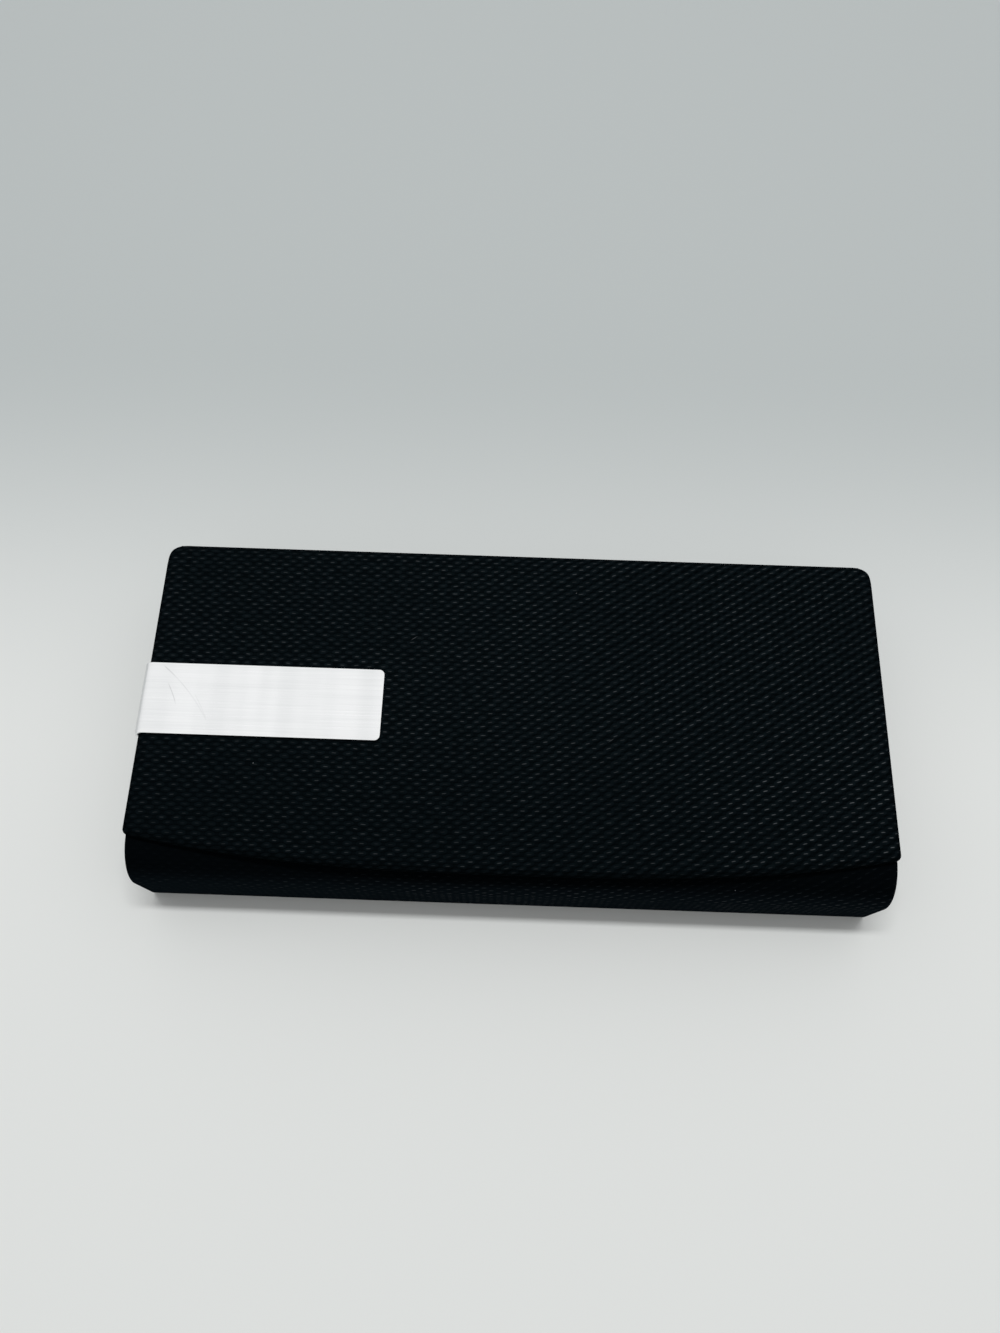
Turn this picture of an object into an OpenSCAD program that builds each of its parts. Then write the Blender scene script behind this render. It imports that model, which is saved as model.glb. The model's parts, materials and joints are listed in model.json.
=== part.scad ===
// Hearing aid case: a cloth-covered hard box with a flat flap lid.
// The lid's board is hinged at the back by its own cloth, and its bowed front
// edge overhangs the rounded shoulder of the body as a finger lip.
// Millimetres. X runs along the case, Y from front to back, Z up.
// The origin is on the resting face, midway between the ends and midway from
// the front wall to the back of the hinge roll.

/* [Overall] */
// Width of the lid over its cloth
case_w = 160; // [120:1:200]
// Depth from the front wall to the back of the hinge roll
case_d = 75.5; // [68:0.5:100]
// Height from the resting face to the top of the lid cloth
case_h = 26; // [22:0.5:40]

/* [Cloth and boards] */
// Thickness of the woven outer cloth
cloth_t = 0.6; // [0.4:0.1:1]
// Thickness of the boards that stiffen the body
board_t = 1.6; // [1:0.1:2.5]
// Thickness of the board in the lid
lid_board_t = 1.4; // [1:0.1:2.5]
// Thickness of the lid's inner lining
lining_t = 0.4; // [0.3:0.1:0.8]
// Glue line between two pieces that are stuck together
glue_gap = 0.05; // [0.02:0.01:0.1]

/* [Body] */
// How far the lid overhangs each end of the body
lid_overhang = 0.1; // [0:0.1:2]
// Radius of the rounded front shoulder
shoulder_r = 9.5; // [6:0.5:12]
// Radius of the bottom edges, front and back
edge_r = 1.5; // [1.2:0.1:2.5]
// Flat rim behind the shoulder, under the front of the lid
rim_flat = 8.5; // [8:0.5:12]
// Foot of the formed front shell, along the floor
shell_foot = 7; // [4:0.5:12]
// How far the outer cloth is turned in over a rim
turn_in = 5; // [3:0.5:6]

/* [Lid] */
// Gap between the closed lid and the rim
seat_gap = 0.2; // [0.1:0.05:0.5]
// Distance from the front wall back to the lid's front corners
corner_setback = 8.45; // [7.5:0.05:11]
// How far the lid's front edge bows forward in the middle
bow_sag = 5.75; // [0:0.25:7]
// Power of the bow's curve: a higher power is flatter in the middle
bow_power = 2.7; // [2:0.1:4]
// Radius of the lid's front corners
lid_corner_r = 2.5; // [1.5:0.1:5]
// Hem of the outer cloth that is turned under the lid, around the lining
lining_hem = 4; // [1:0.5:8]

/* [Hinge] */
// Room between the lid and the back wall when the lid lies back flat
hinge_clear = 0.4; // [0.3:0.1:1]
// Thickness of the tape inside the hinge
tape_t = 0.35; // [0.2:0.05:0.4]
// Width of tape stuck to the lid, and again to the back board
tape_leg = 7; // [4:0.5:9]
// Distance from the tape's ends to the cloth beside them
tape_end_gap = 1; // [0.5:0.5:5]

/* [Insert] */
// Clearance around the foam insert
insert_clear = 0.3; // [0.2:0.1:1]
// Gap between the face of the insert and the cloth turned under the rim
insert_gap = 0.4; // [0.3:0.1:2]
// Thickness of the foam under the wells
base_foam_t = 3; // [2:0.5:5]
// Thickness of the felt on the floor of the wells
felt_t = 0.4; // [0.3:0.1:0.8]
// Thickness of the velvet on the face of the insert
velvet_t = 0.5; // [0.3:0.1:1]

/* [Wells] */
// Radius of the wide outer end of an aid well
aid_wide_r = 12; // [9:0.5:12.5]
// Radius of the narrow inner end of an aid well
aid_narrow_r = 9; // [6:0.5:9.5]
// Distance between the two ends' centres
aid_span = 25; // [15:1:28]
// Radius of the finger notch beside an aid well
notch_r = 5; // [3:0.5:6]
// Radius of a spare cell's well
cell_r = 6.5; // [5:0.25:7]
// Length of the tool well
tool_l = 128; // [60:1:140]
// Width of the tool well
tool_w = 13; // [8:0.5:14]
// Foam left between neighbouring wells
well_wall = 4; // [2:0.5:5]

/* [Magnets] */
// Radius of a disc magnet
magnet_r = 3; // [2:0.25:3.25]
// Clearance around a disc magnet
magnet_fit = 0.1; // [0.05:0.05:0.3]
// Distance between the two magnets of a pair
magnet_pitch = 60; // [20:1:110]

/* [Badge plate] */
// Length of the plate on the lid's top, from its bent end
plate_l = 52.4; // [30:0.2:80]
// Width of the plate
plate_w = 16; // [8:0.2:30]
// Thickness of the plate
plate_t = 0.6; // [0.4:0.1:1]
// Inner radius of the plate's bend
plate_bend_r = 0.6; // [0.3:0.1:0.8]
// Radius of the plate's free corners
plate_corner_r = 1.2; // [0.5:0.1:4]
// How far the plate's middle lies behind the middle of the case
plate_y = -0.15; // [-15:0.05:15]
// Thickness of the adhesive pad under the plate
pad_t = 0.2; // [0.1:0.05:0.5]
// Distance from the plate's edge to the adhesive pad
pad_margin = 1.2; // [0.5:0.1:3]

/* [Hidden] */
$fn = 96;

// Straight pieces that follow the lid's bow
bow_steps = 32;
// Straight pieces in each of the lid's rounded corners
corner_steps = 8;
// Straight pieces round each end of a well
well_steps = 24;
// Least radius of a corner that has been taken in
least_corner_r = 0.5;
// How far a cutting shape runs past what it cuts
past = 1;

// Places along Y
front_y = -case_d / 2;
back_y = case_d / 2;
rim_back_y = front_y + shoulder_r + rim_flat;

// Lid layers, from the top down
lid_t = cloth_t + glue_gap + lid_board_t + glue_gap + lining_t;
lid_z = case_h - lid_t;
lid_board_z = case_h - cloth_t - glue_gap - lid_board_t;
rim_z = lid_z - seat_gap;

// Hinge line: the middle of the cloth roll at the back of the lid
hinge_r = lid_t;
hinge_y = back_y - hinge_r;
hinge_z = case_h - hinge_r;
lid_back_y = hinge_y - hinge_r - hinge_clear;

// Layers of the body's walls, measured in from the outside
board_in = cloth_t + glue_gap;
wall_in = board_in + board_t;
insert_in = wall_in + glue_gap + tape_t + insert_clear;
floor_z = wall_in;
mid_z = rim_z / 2;
inner_back_y = back_y - wall_in - glue_gap;

// Places along X
half_w = case_w / 2;
body_half_w = half_w - lid_overhang;
end_board_x = body_half_w - wall_in;
end_inner_x = end_board_x - glue_gap - cloth_t;
core_l = 2 * (end_board_x - glue_gap);
insert_l = 2 * (end_inner_x - insert_clear);
tape_l = 2 * (min(end_inner_x, half_w - lining_hem) - tape_end_gap);

// Hinge tape
tape_z = lid_board_z - glue_gap;
back_board_z = min(rim_z - board_in, tape_z - tape_t - seat_gap);

// Front of the lid
corner_y = front_y + corner_setback;
lid_front_y = corner_y - bow_sag;
bow_slope = atan(bow_sag * bow_power / half_w);

// Insert layers
insert_z = floor_z + glue_gap;
felt_z = insert_z + base_foam_t;
foam_z = felt_z + felt_t;
face_z = rim_z - 2 * cloth_t - board_t - 2 * glue_gap - insert_gap;
foam_top_z = face_z - velvet_t;

// Wells, laid out from the rim towards the back
tool_y = rim_back_y + well_wall + tool_w / 2;
aid_y = tool_y + tool_w / 2 + 1.5 * well_wall + aid_wide_r;
cell_x = cell_r + well_wall / 2;
aid_narrow_x = cell_x + cell_r + well_wall + aid_narrow_r;
aid_wide_x = aid_narrow_x + aid_span;
notch_x = (aid_narrow_x + aid_wide_x) / 2;
notch_y = aid_y - (aid_narrow_r + aid_wide_r) / 2;

// Magnets lie in the flat of the rim
magnet_y = (front_y + shoulder_r + rim_back_y - board_in) / 2;

// Badge plate
plate_z = case_h + pad_t;
plate_x = -half_w - pad_t;
bend_x = plate_x + plate_bend_r;
bend_z = plate_z - plate_bend_r;
plate_end_x = plate_x - plate_t + plate_l;

cloth_colour = [0.05, 0.055, 0.06];
board_colour = [0.45, 0.4, 0.33];
lining_colour = [0.09, 0.09, 0.1];
foam_colour = [0.16, 0.16, 0.17];
metal_colour = [0.84, 0.85, 0.87];
magnet_colour = [0.62, 0.63, 0.65];
pad_colour = [0.9, 0.9, 0.86];

// A box by its lowest and highest corners
module span(low, high) {
  translate(low)
    cube(high - low);
}

// A rectangle by its lowest and highest corners
module patch(low, high) {
  translate(low)
    square(high - low);
}

// A side profile, drawn with Y across and Z up, run along X about the middle
module along_x(length) {
  rotate([90, 0, 90])
    linear_extrude(height = length, center = true)
      children();
}

// A side profile made into a plate that runs from x0 to x1
module plate_across_x(x0, x1) {
  translate([(x0 + x1) / 2, 0, 0])
    along_x(x1 - x0)
      children();
}

// A rounded outside corner, as the piece that is cut away
module corner_cut(r, across) {
  difference() {
    patch([across > 0 ? 0 : -r - past, -r - past], [across > 0 ? r + past : 0, 0]);
    circle(r = r);
  }
}

// Side profile of the body, taken in from the outside by an inset
module body_profile(inset) {
  r = edge_r - inset;
  difference() {
    union() {
      patch([front_y + shoulder_r, inset], [back_y - inset, rim_z - inset]);
      patch([front_y + inset, inset], [front_y + shoulder_r, rim_z - shoulder_r]);
      translate([front_y + shoulder_r, rim_z - shoulder_r])
        circle(r = shoulder_r - inset);
    }
    if (r > 0) {
      translate([front_y + edge_r, edge_r])
        corner_cut(r, -1);
      translate([back_y - edge_r, edge_r])
        corner_cut(r, 1);
    }
  }
}

// Side profile of a sheet that follows the body's outside
module sheet_profile(outer, inner) {
  difference() {
    body_profile(outer);
    body_profile(inner);
  }
}

// Points round an arc, by its centre, radius and two angles
function arc_points(centre, r, from, to, steps) =
  [for (i = [0 : steps]) let (turn = from + (to - from) * i / steps) centre + r * [cos(turn), sin(turn)]];

// Y of the lid's front edge at a place along X
function bow_y(x) = lid_front_y + bow_sag * pow(abs(x) / half_w, bow_power);

// Lid outline from above, taken in by an inset at its three free edges
module lid_outline(inset, back) {
  r = max(lid_corner_r - inset, least_corner_r);
  bow_x = half_w - inset - r * (1 - sin(bow_slope));
  centre = [half_w - inset - r, bow_y(bow_x) + inset + r * cos(bow_slope)];
  corner = arc_points(centre, r, 0, bow_slope - 90, corner_steps);
  step = 2 * bow_x / bow_steps;
  bow = [for (i = [1 : bow_steps - 1]) let (x = bow_x - i * step) [x, bow_y(x) + inset]];
  far_corner = [for (i = [corner_steps : -1 : 0]) [-corner[i].x, corner[i].y]];
  polygon(concat([[half_w - inset, back]], corner, bow, far_corner, [[inset - half_w, back]]));
}

// A slot that narrows from its wide end, at the origin, to its narrow end along -X
module tapered_slot(wide_r, narrow_r, span_l) {
  lean = 90 + asin((wide_r - narrow_r) / span_l);
  polygon(concat(
    arc_points([0, 0], wide_r, -lean, lean, well_steps),
    arc_points([-span_l, 0], narrow_r, lean, 360 - lean, well_steps)
  ));
}

// All the wells, from above
module wells_plan() {
  for (side = [0, 1])
    mirror([side, 0]) {
      translate([aid_wide_x, aid_y])
        tapered_slot(aid_wide_r, aid_narrow_r, aid_span);
      translate([notch_x, notch_y])
        circle(r = notch_r);
      translate([cell_x, aid_y])
        circle(r = cell_r);
    }
  translate([(tool_l - tool_w) / 2, tool_y])
    tapered_slot(tool_w / 2, tool_w / 2, tool_l - tool_w);
}

// One layer of the insert between two heights
module insert_layer(z0, z1) {
  along_x(insert_l)
    intersection() {
      union() {
        body_profile(insert_in);
        patch([front_y + insert_in, insert_z], [back_y - insert_in, mid_z]);
      }
      patch([front_y, z0], [back_y, z1]);
    }
}

// One layer of the insert with the wells cut through it
module welled_layer(z0, z1) {
  difference() {
    insert_layer(z0, z1);
    translate([0, 0, z0 - past])
      linear_extrude(height = z1 - z0 + 2 * past)
        wells_plan();
  }
}

// A pair of upright discs in the magnets' places
module magnet_pair(r, z0, z1) {
  for (side = [-1, 1])
    translate([side * magnet_pitch / 2, magnet_y, z0])
      cylinder(r = r, h = z1 - z0);
}

// Flat board under the insert, between the front shell's foot and the back board
module floor_board() {
  color(board_colour)
    along_x(core_l)
      intersection() {
        sheet_profile(board_in, wall_in);
        patch([front_y + shell_foot + glue_gap, 0], [inner_back_y, mid_z]);
      }
}

// Upright board at the back, short of the hinge line
module back_board() {
  color(board_colour)
    along_x(core_l)
      intersection() {
        body_profile(board_in);
        patch([back_y - wall_in, 0], [back_y, back_board_z]);
      }
}

// Formed sheet: foot, front wall, rounded shoulder and flat rim
module front_shell() {
  color(board_colour)
    difference() {
      along_x(core_l)
        intersection() {
          sheet_profile(board_in, wall_in);
          union() {
            patch([front_y, 0], [front_y + shell_foot, mid_z]);
            patch([front_y, mid_z], [rim_back_y - board_in, rim_z]);
          }
        }
      magnet_pair(magnet_r + magnet_fit, rim_z - wall_in - past, rim_z);
    }
}

// Board that closes an end of the body; side is -1 on the left
module end_board(side) {
  color(board_colour)
    mirror([side < 0 ? 1 : 0, 0, 0])
      plate_across_x(end_board_x, end_board_x + board_t)
        body_profile(board_in);
}

module left_end_board() {
  end_board(-1);
}

module right_end_board() {
  end_board(1);
}

// Cloth under the floor, turned up at the front and back edges
module base_cloth() {
  color(cloth_colour)
    along_x(2 * body_half_w)
      intersection() {
        sheet_profile(0, cloth_t);
        patch([front_y, 0], [back_y, edge_r]);
      }
}

// Cloth up the front, over the shoulder and turned in round the rim
module front_cloth() {
  under_z = rim_z - wall_in - glue_gap;
  color(cloth_colour) {
    along_x(2 * body_half_w)
      intersection() {
        sheet_profile(0, cloth_t);
        patch([front_y, edge_r + glue_gap], [rim_back_y, rim_z]);
      }
    along_x(core_l)
      difference() {
        patch([rim_back_y - turn_in, under_z - cloth_t], [rim_back_y, rim_z]);
        patch([rim_back_y - turn_in - past, under_z], [rim_back_y - cloth_t, rim_z - cloth_t + past]);
        patch([rim_back_y - turn_in - past, rim_z - cloth_t], [rim_back_y - cloth_t, rim_z + past]);
      }
  }
}

// Cloth on an end, turned in over the end board's top
module end_cloth(side) {
  outer = body_half_w - cloth_t;
  top_front_y = rim_back_y + glue_gap;
  top_back_y = back_y - board_in;
  color(cloth_colour)
    mirror([side < 0 ? 1 : 0, 0, 0]) {
      plate_across_x(outer, body_half_w) {
        body_profile(board_in);
        patch([top_front_y, mid_z], [top_back_y, rim_z]);
      }
      span([end_inner_x, top_front_y, rim_z - cloth_t], [body_half_w, top_back_y, rim_z]);
      span([end_inner_x, top_front_y, rim_z - turn_in], [end_inner_x + cloth_t, inner_back_y, rim_z]);
    }
}

module left_end_cloth() {
  end_cloth(-1);
}

module right_end_cloth() {
  end_cloth(1);
}

// Side profile of the hinge roll, filled in, with a given radius
module roll_profile(r) {
  intersection() {
    translate([hinge_y, hinge_z])
      circle(r = r);
    patch([hinge_y, hinge_z], [hinge_y + r, hinge_z + r]);
  }
  patch([lid_back_y + glue_gap, hinge_z], [hinge_y, hinge_z + r]);
}

// Cloth up the back wall, rolled forward over the hinge to meet the lid, with
// its two ends tucked in
module hinge_cloth() {
  color(cloth_colour) {
    along_x(2 * body_half_w) {
      patch([back_y - cloth_t, edge_r + glue_gap], [back_y, hinge_z]);
      difference() {
        roll_profile(hinge_r);
        patch([lid_back_y, hinge_z - past], [hinge_y, hinge_z + hinge_r - cloth_t]);
        translate([hinge_y, hinge_z])
          circle(r = hinge_r - cloth_t);
      }
    }
    for (side = [0, 1])
      mirror([side, 0, 0])
        plate_across_x(body_half_w - cloth_t, body_half_w)
          roll_profile(hinge_r);
  }
}

// Tape inside the hinge, from the lid's board round to the back board
module hinge_tape() {
  color(lining_colour)
    along_x(tape_l) {
      patch([lid_back_y - tape_leg, tape_z - tape_t], [inner_back_y, tape_z]);
      patch([inner_back_y - tape_t, tape_z - tape_leg], [inner_back_y, tape_z]);
    }
}

// Disc magnets in the flat of the rim
module rim_magnets() {
  color(magnet_colour)
    magnet_pair(magnet_r, rim_z - wall_in, rim_z - board_in);
}

// Plain foam under the wells
module insert_base() {
  color(foam_colour)
    insert_layer(insert_z, felt_z);
}

// Felt that shows on the floor of the wells
module well_felt() {
  color(lining_colour)
    insert_layer(felt_z, foam_z);
}

// Foam block with the wells cut through it
module insert_foam() {
  color(foam_colour)
    welled_layer(foam_z, foam_top_z);
}

// Velvet on the face of the insert
module insert_velvet() {
  color(lining_colour)
    welled_layer(foam_top_z, face_z);
}

// Stiff board in the lid, with a hole for each magnet
module lid_board() {
  color(board_colour)
    difference() {
      translate([0, 0, lid_board_z])
        linear_extrude(height = lid_board_t)
          lid_outline(board_in, lid_back_y);
      magnet_pair(magnet_r + magnet_fit, lid_board_z - past, case_h);
    }
}

// Cloth over the lid's top, down its three free edges and turned under the
// board, where its hem is pressed as thin as the lining
module lid_cloth() {
  color(cloth_colour)
    difference() {
      translate([0, 0, lid_z])
        linear_extrude(height = lid_t)
          lid_outline(0, lid_back_y);
      translate([0, 0, lid_z + lining_t])
        linear_extrude(height = lid_t - lining_t - cloth_t)
          lid_outline(cloth_t, lid_back_y + past);
      translate([0, 0, lid_z - past])
        linear_extrude(height = lining_t + 2 * past)
          lid_outline(lining_hem - glue_gap, lid_back_y + past);
    }
}

// Lining under the lid's board, ahead of the hinge tape
module lid_lining() {
  color(lining_colour)
    translate([0, 0, lid_z])
      linear_extrude(height = lining_t)
        intersection() {
          lid_outline(lining_hem, lid_back_y);
          patch([-half_w, front_y], [half_w, lid_back_y - tape_leg - glue_gap]);
        }
}

// Disc magnets in the lid's board, over those in the rim
module lid_magnets() {
  color(magnet_colour)
    magnet_pair(magnet_r, lid_board_z, lid_board_z + lid_board_t);
}

// Bent metal plate on the lid's top, folded down over its left edge
module badge_plate() {
  color(metal_colour)
    translate([0, plate_y, 0])
      intersection() {
        rotate([90, 0, 0])
          linear_extrude(height = plate_w, center = true) {
            patch([bend_x, plate_z], [plate_end_x, plate_z + plate_t]);
            patch([plate_x - plate_t, lid_z + seat_gap], [plate_x, bend_z]);
            translate([bend_x, bend_z])
              intersection() {
                difference() {
                  circle(r = plate_bend_r + plate_t);
                  circle(r = plate_bend_r);
                }
                patch([-plate_bend_r - plate_t, 0], [0, plate_bend_r + plate_t]);
              }
          }
        translate([0, 0, lid_z])
          linear_extrude(height = lid_t + pad_t + plate_t + past)
            plate_plan();
      }
}

// Outline of the plate from above, with its two free corners rounded
module plate_plan() {
  r = plate_corner_r;
  patch([plate_x - plate_t - past, -plate_w / 2], [plate_end_x - r, plate_w / 2]);
  patch([plate_end_x - r, r - plate_w / 2], [plate_end_x, plate_w / 2 - r]);
  for (side = [-1, 1])
    translate([plate_end_x - r, side * (plate_w / 2 - r)])
      circle(r = r);
}

// Adhesive pad between the plate and the lid's cloth
module badge_pad() {
  color(pad_colour)
    span(
      [pad_margin - half_w, plate_y + pad_margin - plate_w / 2, case_h],
      [plate_end_x - pad_margin, plate_y + plate_w / 2 - pad_margin, plate_z]
    );
}

floor_board();
back_board();
front_shell();
left_end_board();
right_end_board();
base_cloth();
front_cloth();
left_end_cloth();
right_end_cloth();
hinge_cloth();
hinge_tape();
rim_magnets();
insert_base();
well_felt();
insert_foam();
insert_velvet();
lid_board();
lid_cloth();
lid_lining();
lid_magnets();
badge_plate();
badge_pad();
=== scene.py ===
"""Looks of a cloth-covered hearing aid case with a flat flap lid.

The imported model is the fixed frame. Its cloths, foams and tape are replaced by
modelled sheets and softened pieces, its boards and magnets keep their shape and
get a finish, and a plain studio is set around it. Lengths are in metres.
"""

import json
import logging
import math
from abc import ABC, abstractmethod
from collections.abc import Callable, Iterator, Mapping
from contextlib import contextmanager
from dataclasses import dataclass, field
from enum import Enum

import bmesh
import bpy
from bmesh.types import BMEdge, BMVert
from bpy.types import Material, Node, NodeSocket, NodeTree, Object, Scene
from mathutils import Matrix, Vector

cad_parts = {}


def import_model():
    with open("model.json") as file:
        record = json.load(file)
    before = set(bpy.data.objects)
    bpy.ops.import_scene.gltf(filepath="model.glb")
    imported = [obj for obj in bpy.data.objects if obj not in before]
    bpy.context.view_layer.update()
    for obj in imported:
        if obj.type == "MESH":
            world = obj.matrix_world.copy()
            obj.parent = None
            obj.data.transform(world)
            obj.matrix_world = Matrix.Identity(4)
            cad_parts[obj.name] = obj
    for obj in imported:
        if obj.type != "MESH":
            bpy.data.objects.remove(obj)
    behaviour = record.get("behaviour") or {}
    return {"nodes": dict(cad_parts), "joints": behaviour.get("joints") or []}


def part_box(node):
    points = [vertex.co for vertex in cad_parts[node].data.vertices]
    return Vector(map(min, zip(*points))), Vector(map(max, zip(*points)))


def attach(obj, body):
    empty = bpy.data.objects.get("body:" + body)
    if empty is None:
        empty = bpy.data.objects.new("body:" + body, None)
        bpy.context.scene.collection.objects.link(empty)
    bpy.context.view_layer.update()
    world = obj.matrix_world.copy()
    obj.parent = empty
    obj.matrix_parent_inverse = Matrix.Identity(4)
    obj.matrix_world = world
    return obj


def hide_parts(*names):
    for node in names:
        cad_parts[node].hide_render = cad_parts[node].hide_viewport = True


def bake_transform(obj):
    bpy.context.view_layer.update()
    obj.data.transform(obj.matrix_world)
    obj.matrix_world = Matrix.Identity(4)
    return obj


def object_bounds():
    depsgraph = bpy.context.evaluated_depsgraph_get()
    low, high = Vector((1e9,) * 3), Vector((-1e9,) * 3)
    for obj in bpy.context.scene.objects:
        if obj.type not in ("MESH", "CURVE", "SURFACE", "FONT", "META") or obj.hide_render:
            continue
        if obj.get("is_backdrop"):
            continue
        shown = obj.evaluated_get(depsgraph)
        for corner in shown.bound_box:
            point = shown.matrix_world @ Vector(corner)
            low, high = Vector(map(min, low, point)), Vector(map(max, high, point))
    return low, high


Axes = tuple[float, float, float]
Colour = tuple[float, float, float]
Range = tuple[float, float]
Ramp = tuple[float, float, float, float]
Sockets = Mapping[str, NodeSocket]

LOG = logging.getLogger("case")
MM = 0.001
SAME_PLACE = 0.01 * MM
WELD = 0.002 * MM
HEM_WELD = 0.005 * MM
FLAT_ENOUGH = math.radians(1)
BEVEL_PAST = math.radians(50)
LAYER_SHARP = math.radians(50)
CLOTH_SHARP = math.radians(45)
METAL_SHARP = math.radians(30)
QUARTER_DEGREES = 90.0
UV_NAME = "weave"
FLAT = "flat"
FOLD_LAYERS = ("base", "out", "under", "flat_base")
NOISE_MIDDLE: Axes = (0.5, 0.5, 0.5)
PLAN: Axes = (1.0, 1.0, 0.0)
BLACK: Colour = (0.0, 0.0, 0.0)
WHITE: Colour = (1.0, 1.0, 1.0)
MIX_OTHER_KINDS = (None,) * 5


class Body(Enum):
    """The case's two bodies."""

    CASE = "case_body"
    LID = "lid"


class Hold(Enum):
    """How a sheet of cloth is kept in place."""

    STRETCHED = "stretched"
    FOLDED = "folded"
    LAID = "laid"


class MeshPart(Enum):
    """The parts of a mesh that can be chosen."""

    VERTS = "VERT"
    EDGES = "EDGE"


class Look(Enum):
    """The finishes of the case."""

    LID_WEAVE = "lid_weave"
    BODY_WEAVE = "body_weave"
    VELVET = "velvet"
    FELT = "felt"
    LINING = "lining"
    FOAM = "cell_foam"
    BOARD = "pressed_board"
    PLATE = "brushed_plate"
    MAGNET = "plated_steel"
    PAD = "adhesive_pad"


class Effect(Enum):
    """The shader node groups that the finishes share, each with its inputs apart from the place."""

    PLAIN_WEAVE = ("Warp Pitch", "Weft Pitch", "Wander", "Slant")
    MOTTLE = ("Size", "Amount")
    LINT = ("Spacing", "Share")
    PILE = ("Fibre",)
    BRUSHED_GRAIN = ()


Palette = dict[Look, Material]


# Modelling by hand: selecting, editing and finishing a mesh


def activate(piece: Object) -> None:
    """Make a piece the only selected object and the active one.

    Args:
        piece: The object to work on.
    """
    bpy.ops.object.select_all(action="DESELECT")
    piece.select_set(True)
    bpy.context.view_layer.objects.active = piece


@contextmanager
def edit_mode(piece: Object) -> Iterator[None]:
    """Open a piece in edit mode with nothing selected, and close it after.

    Args:
        piece: The object to edit.
    """
    activate(piece)
    bpy.ops.object.mode_set(mode="EDIT")
    bpy.ops.mesh.select_all(action="DESELECT")
    yield
    bpy.ops.object.mode_set(mode="OBJECT")


def choose(piece: Object, kind: MeshPart, test: Callable[..., bool]) -> None:
    """Select the vertices or edges that pass a test, in edit mode.

    Args:
        piece: The object being edited.
        kind: Which parts of its mesh.
        test: Says whether a vertex or edge is wanted.
    """
    bpy.ops.mesh.select_mode(type=kind.value)
    bpy.ops.mesh.select_all(action="DESELECT")
    mesh = bmesh.from_edit_mesh(piece.data)
    for part in mesh.edges if kind is MeshPart.EDGES else mesh.verts:
        if test(part):
            part.select_set(True)
    bmesh.update_edit_mesh(piece.data)


def started(name: str, add: Callable[..., object], **sizes: float) -> Object:
    """Add a primitive to start a piece from.

    Args:
        name: The piece's name.
        add: Blender's operator for the primitive.
        **sizes: The operator's values.

    Returns:
        The new object.
    """
    bpy.ops.object.select_all(action="DESELECT")
    add(**sizes)
    piece = bpy.context.object
    piece.name = piece.data.name = name
    return piece


def apply_modifier(piece: Object, kind: str, **settings: object) -> None:
    """Add a modifier with its settings and apply it to the mesh.

    Args:
        piece: The object to change.
        kind: Blender's name for the modifier.
        **settings: The modifier's properties.
    """
    modifier = piece.modifiers.new(kind.lower(), kind)
    for name, value in settings.items():
        setattr(modifier, name, value)
    activate(piece)
    bpy.ops.object.modifier_apply(modifier=modifier.name)


def lower(piece: Object, distance: float) -> None:
    """Move the whole of a piece's mesh down.

    Args:
        piece: The object to change.
        distance: How far down.
    """
    with edit_mode(piece):
        bpy.ops.mesh.select_all(action="SELECT")
        bpy.ops.transform.translate(value=(0, 0, -distance))


def shade(piece: Object, sharp: float) -> None:
    """Shade a piece smooth, with edges past an angle left sharp."""
    activate(piece)
    bpy.ops.object.shade_smooth_by_angle(angle=sharp)


def ease_edges(piece: Object, radius: float, segments: int, sharp: float) -> None:
    """Round a piece's sharp edges over and shade it.

    Args:
        piece: The object to change.
        radius: Radius of the rounded edges.
        segments: Facets across a rounded edge.
        sharp: The angle past which an edge is still shaded sharp.
    """
    apply_modifier(
        piece,
        "BEVEL",
        width=radius,
        segments=segments,
        limit_method="ANGLE",
        angle_limit=BEVEL_PAST,
    )
    shade(piece, sharp)
    apply_modifier(piece, "WEIGHTED_NORMAL", keep_sharp=True)


def softened(node: Object, name: str, radius: float) -> Object:
    """A copy of a CAD node, its loose triangles joined and its sharp edges rounded over.

    Args:
        node: The CAD node.
        name: The new object's name.
        radius: Radius of the rounded edges.

    Returns:
        The new object.
    """
    piece = bpy.data.objects.new(name, node.data.copy())
    bpy.context.scene.collection.objects.link(piece)
    with edit_mode(piece):
        bpy.ops.mesh.select_all(action="SELECT")
        bpy.ops.mesh.remove_doubles(threshold=WELD)
        bpy.ops.mesh.dissolve_limited(angle_limit=FLAT_ENOUGH)
    ease_edges(piece, radius, segments=3, sharp=LAYER_SHARP)
    return piece


def dress(
    piece: Object, material: Material, slot: str, *nodes: str, body: Body | None = None
) -> None:
    """Give a piece its finish and body, hide the nodes that it stands for, and report it.

    Args:
        piece: The finished mesh.
        material: Its finish.
        slot: Not used.
        *nodes: The CAD nodes that it stands for.
        body: The body that it rides on, if any.
    """
    piece.data.materials.clear()
    piece.data.materials.append(material)
    if body:
        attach(piece, body.value)
    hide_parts(*nodes)
    LOG.info("made %s with %d faces", piece.name, len(piece.data.polygons))


def box_map(piece: Object) -> None:
    """Lay the weave on a piece from the side that each face looks to, in metres.

    Args:
        piece: The object that gets the UV map.
    """
    layer = piece.data.uv_layers.get(UV_NAME) or piece.data.uv_layers.new(name=UV_NAME)
    for face in piece.data.polygons:
        axis = max(range(3), key=lambda i: abs(face.normal[i]))
        across, along = ((1, 2), (0, 2), (0, 1))[axis]
        for loop in face.loop_indices:
            spot = piece.data.vertices[piece.data.loops[loop].vertex_index].co
            layer.data[loop].uv = (spot[across], spot[along])


# Sheets of cloth that follow a side profile


@dataclass(frozen=True)
class Station:
    """One place on a path, and how far along it is."""

    y: float
    z: float
    walked: float


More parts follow.
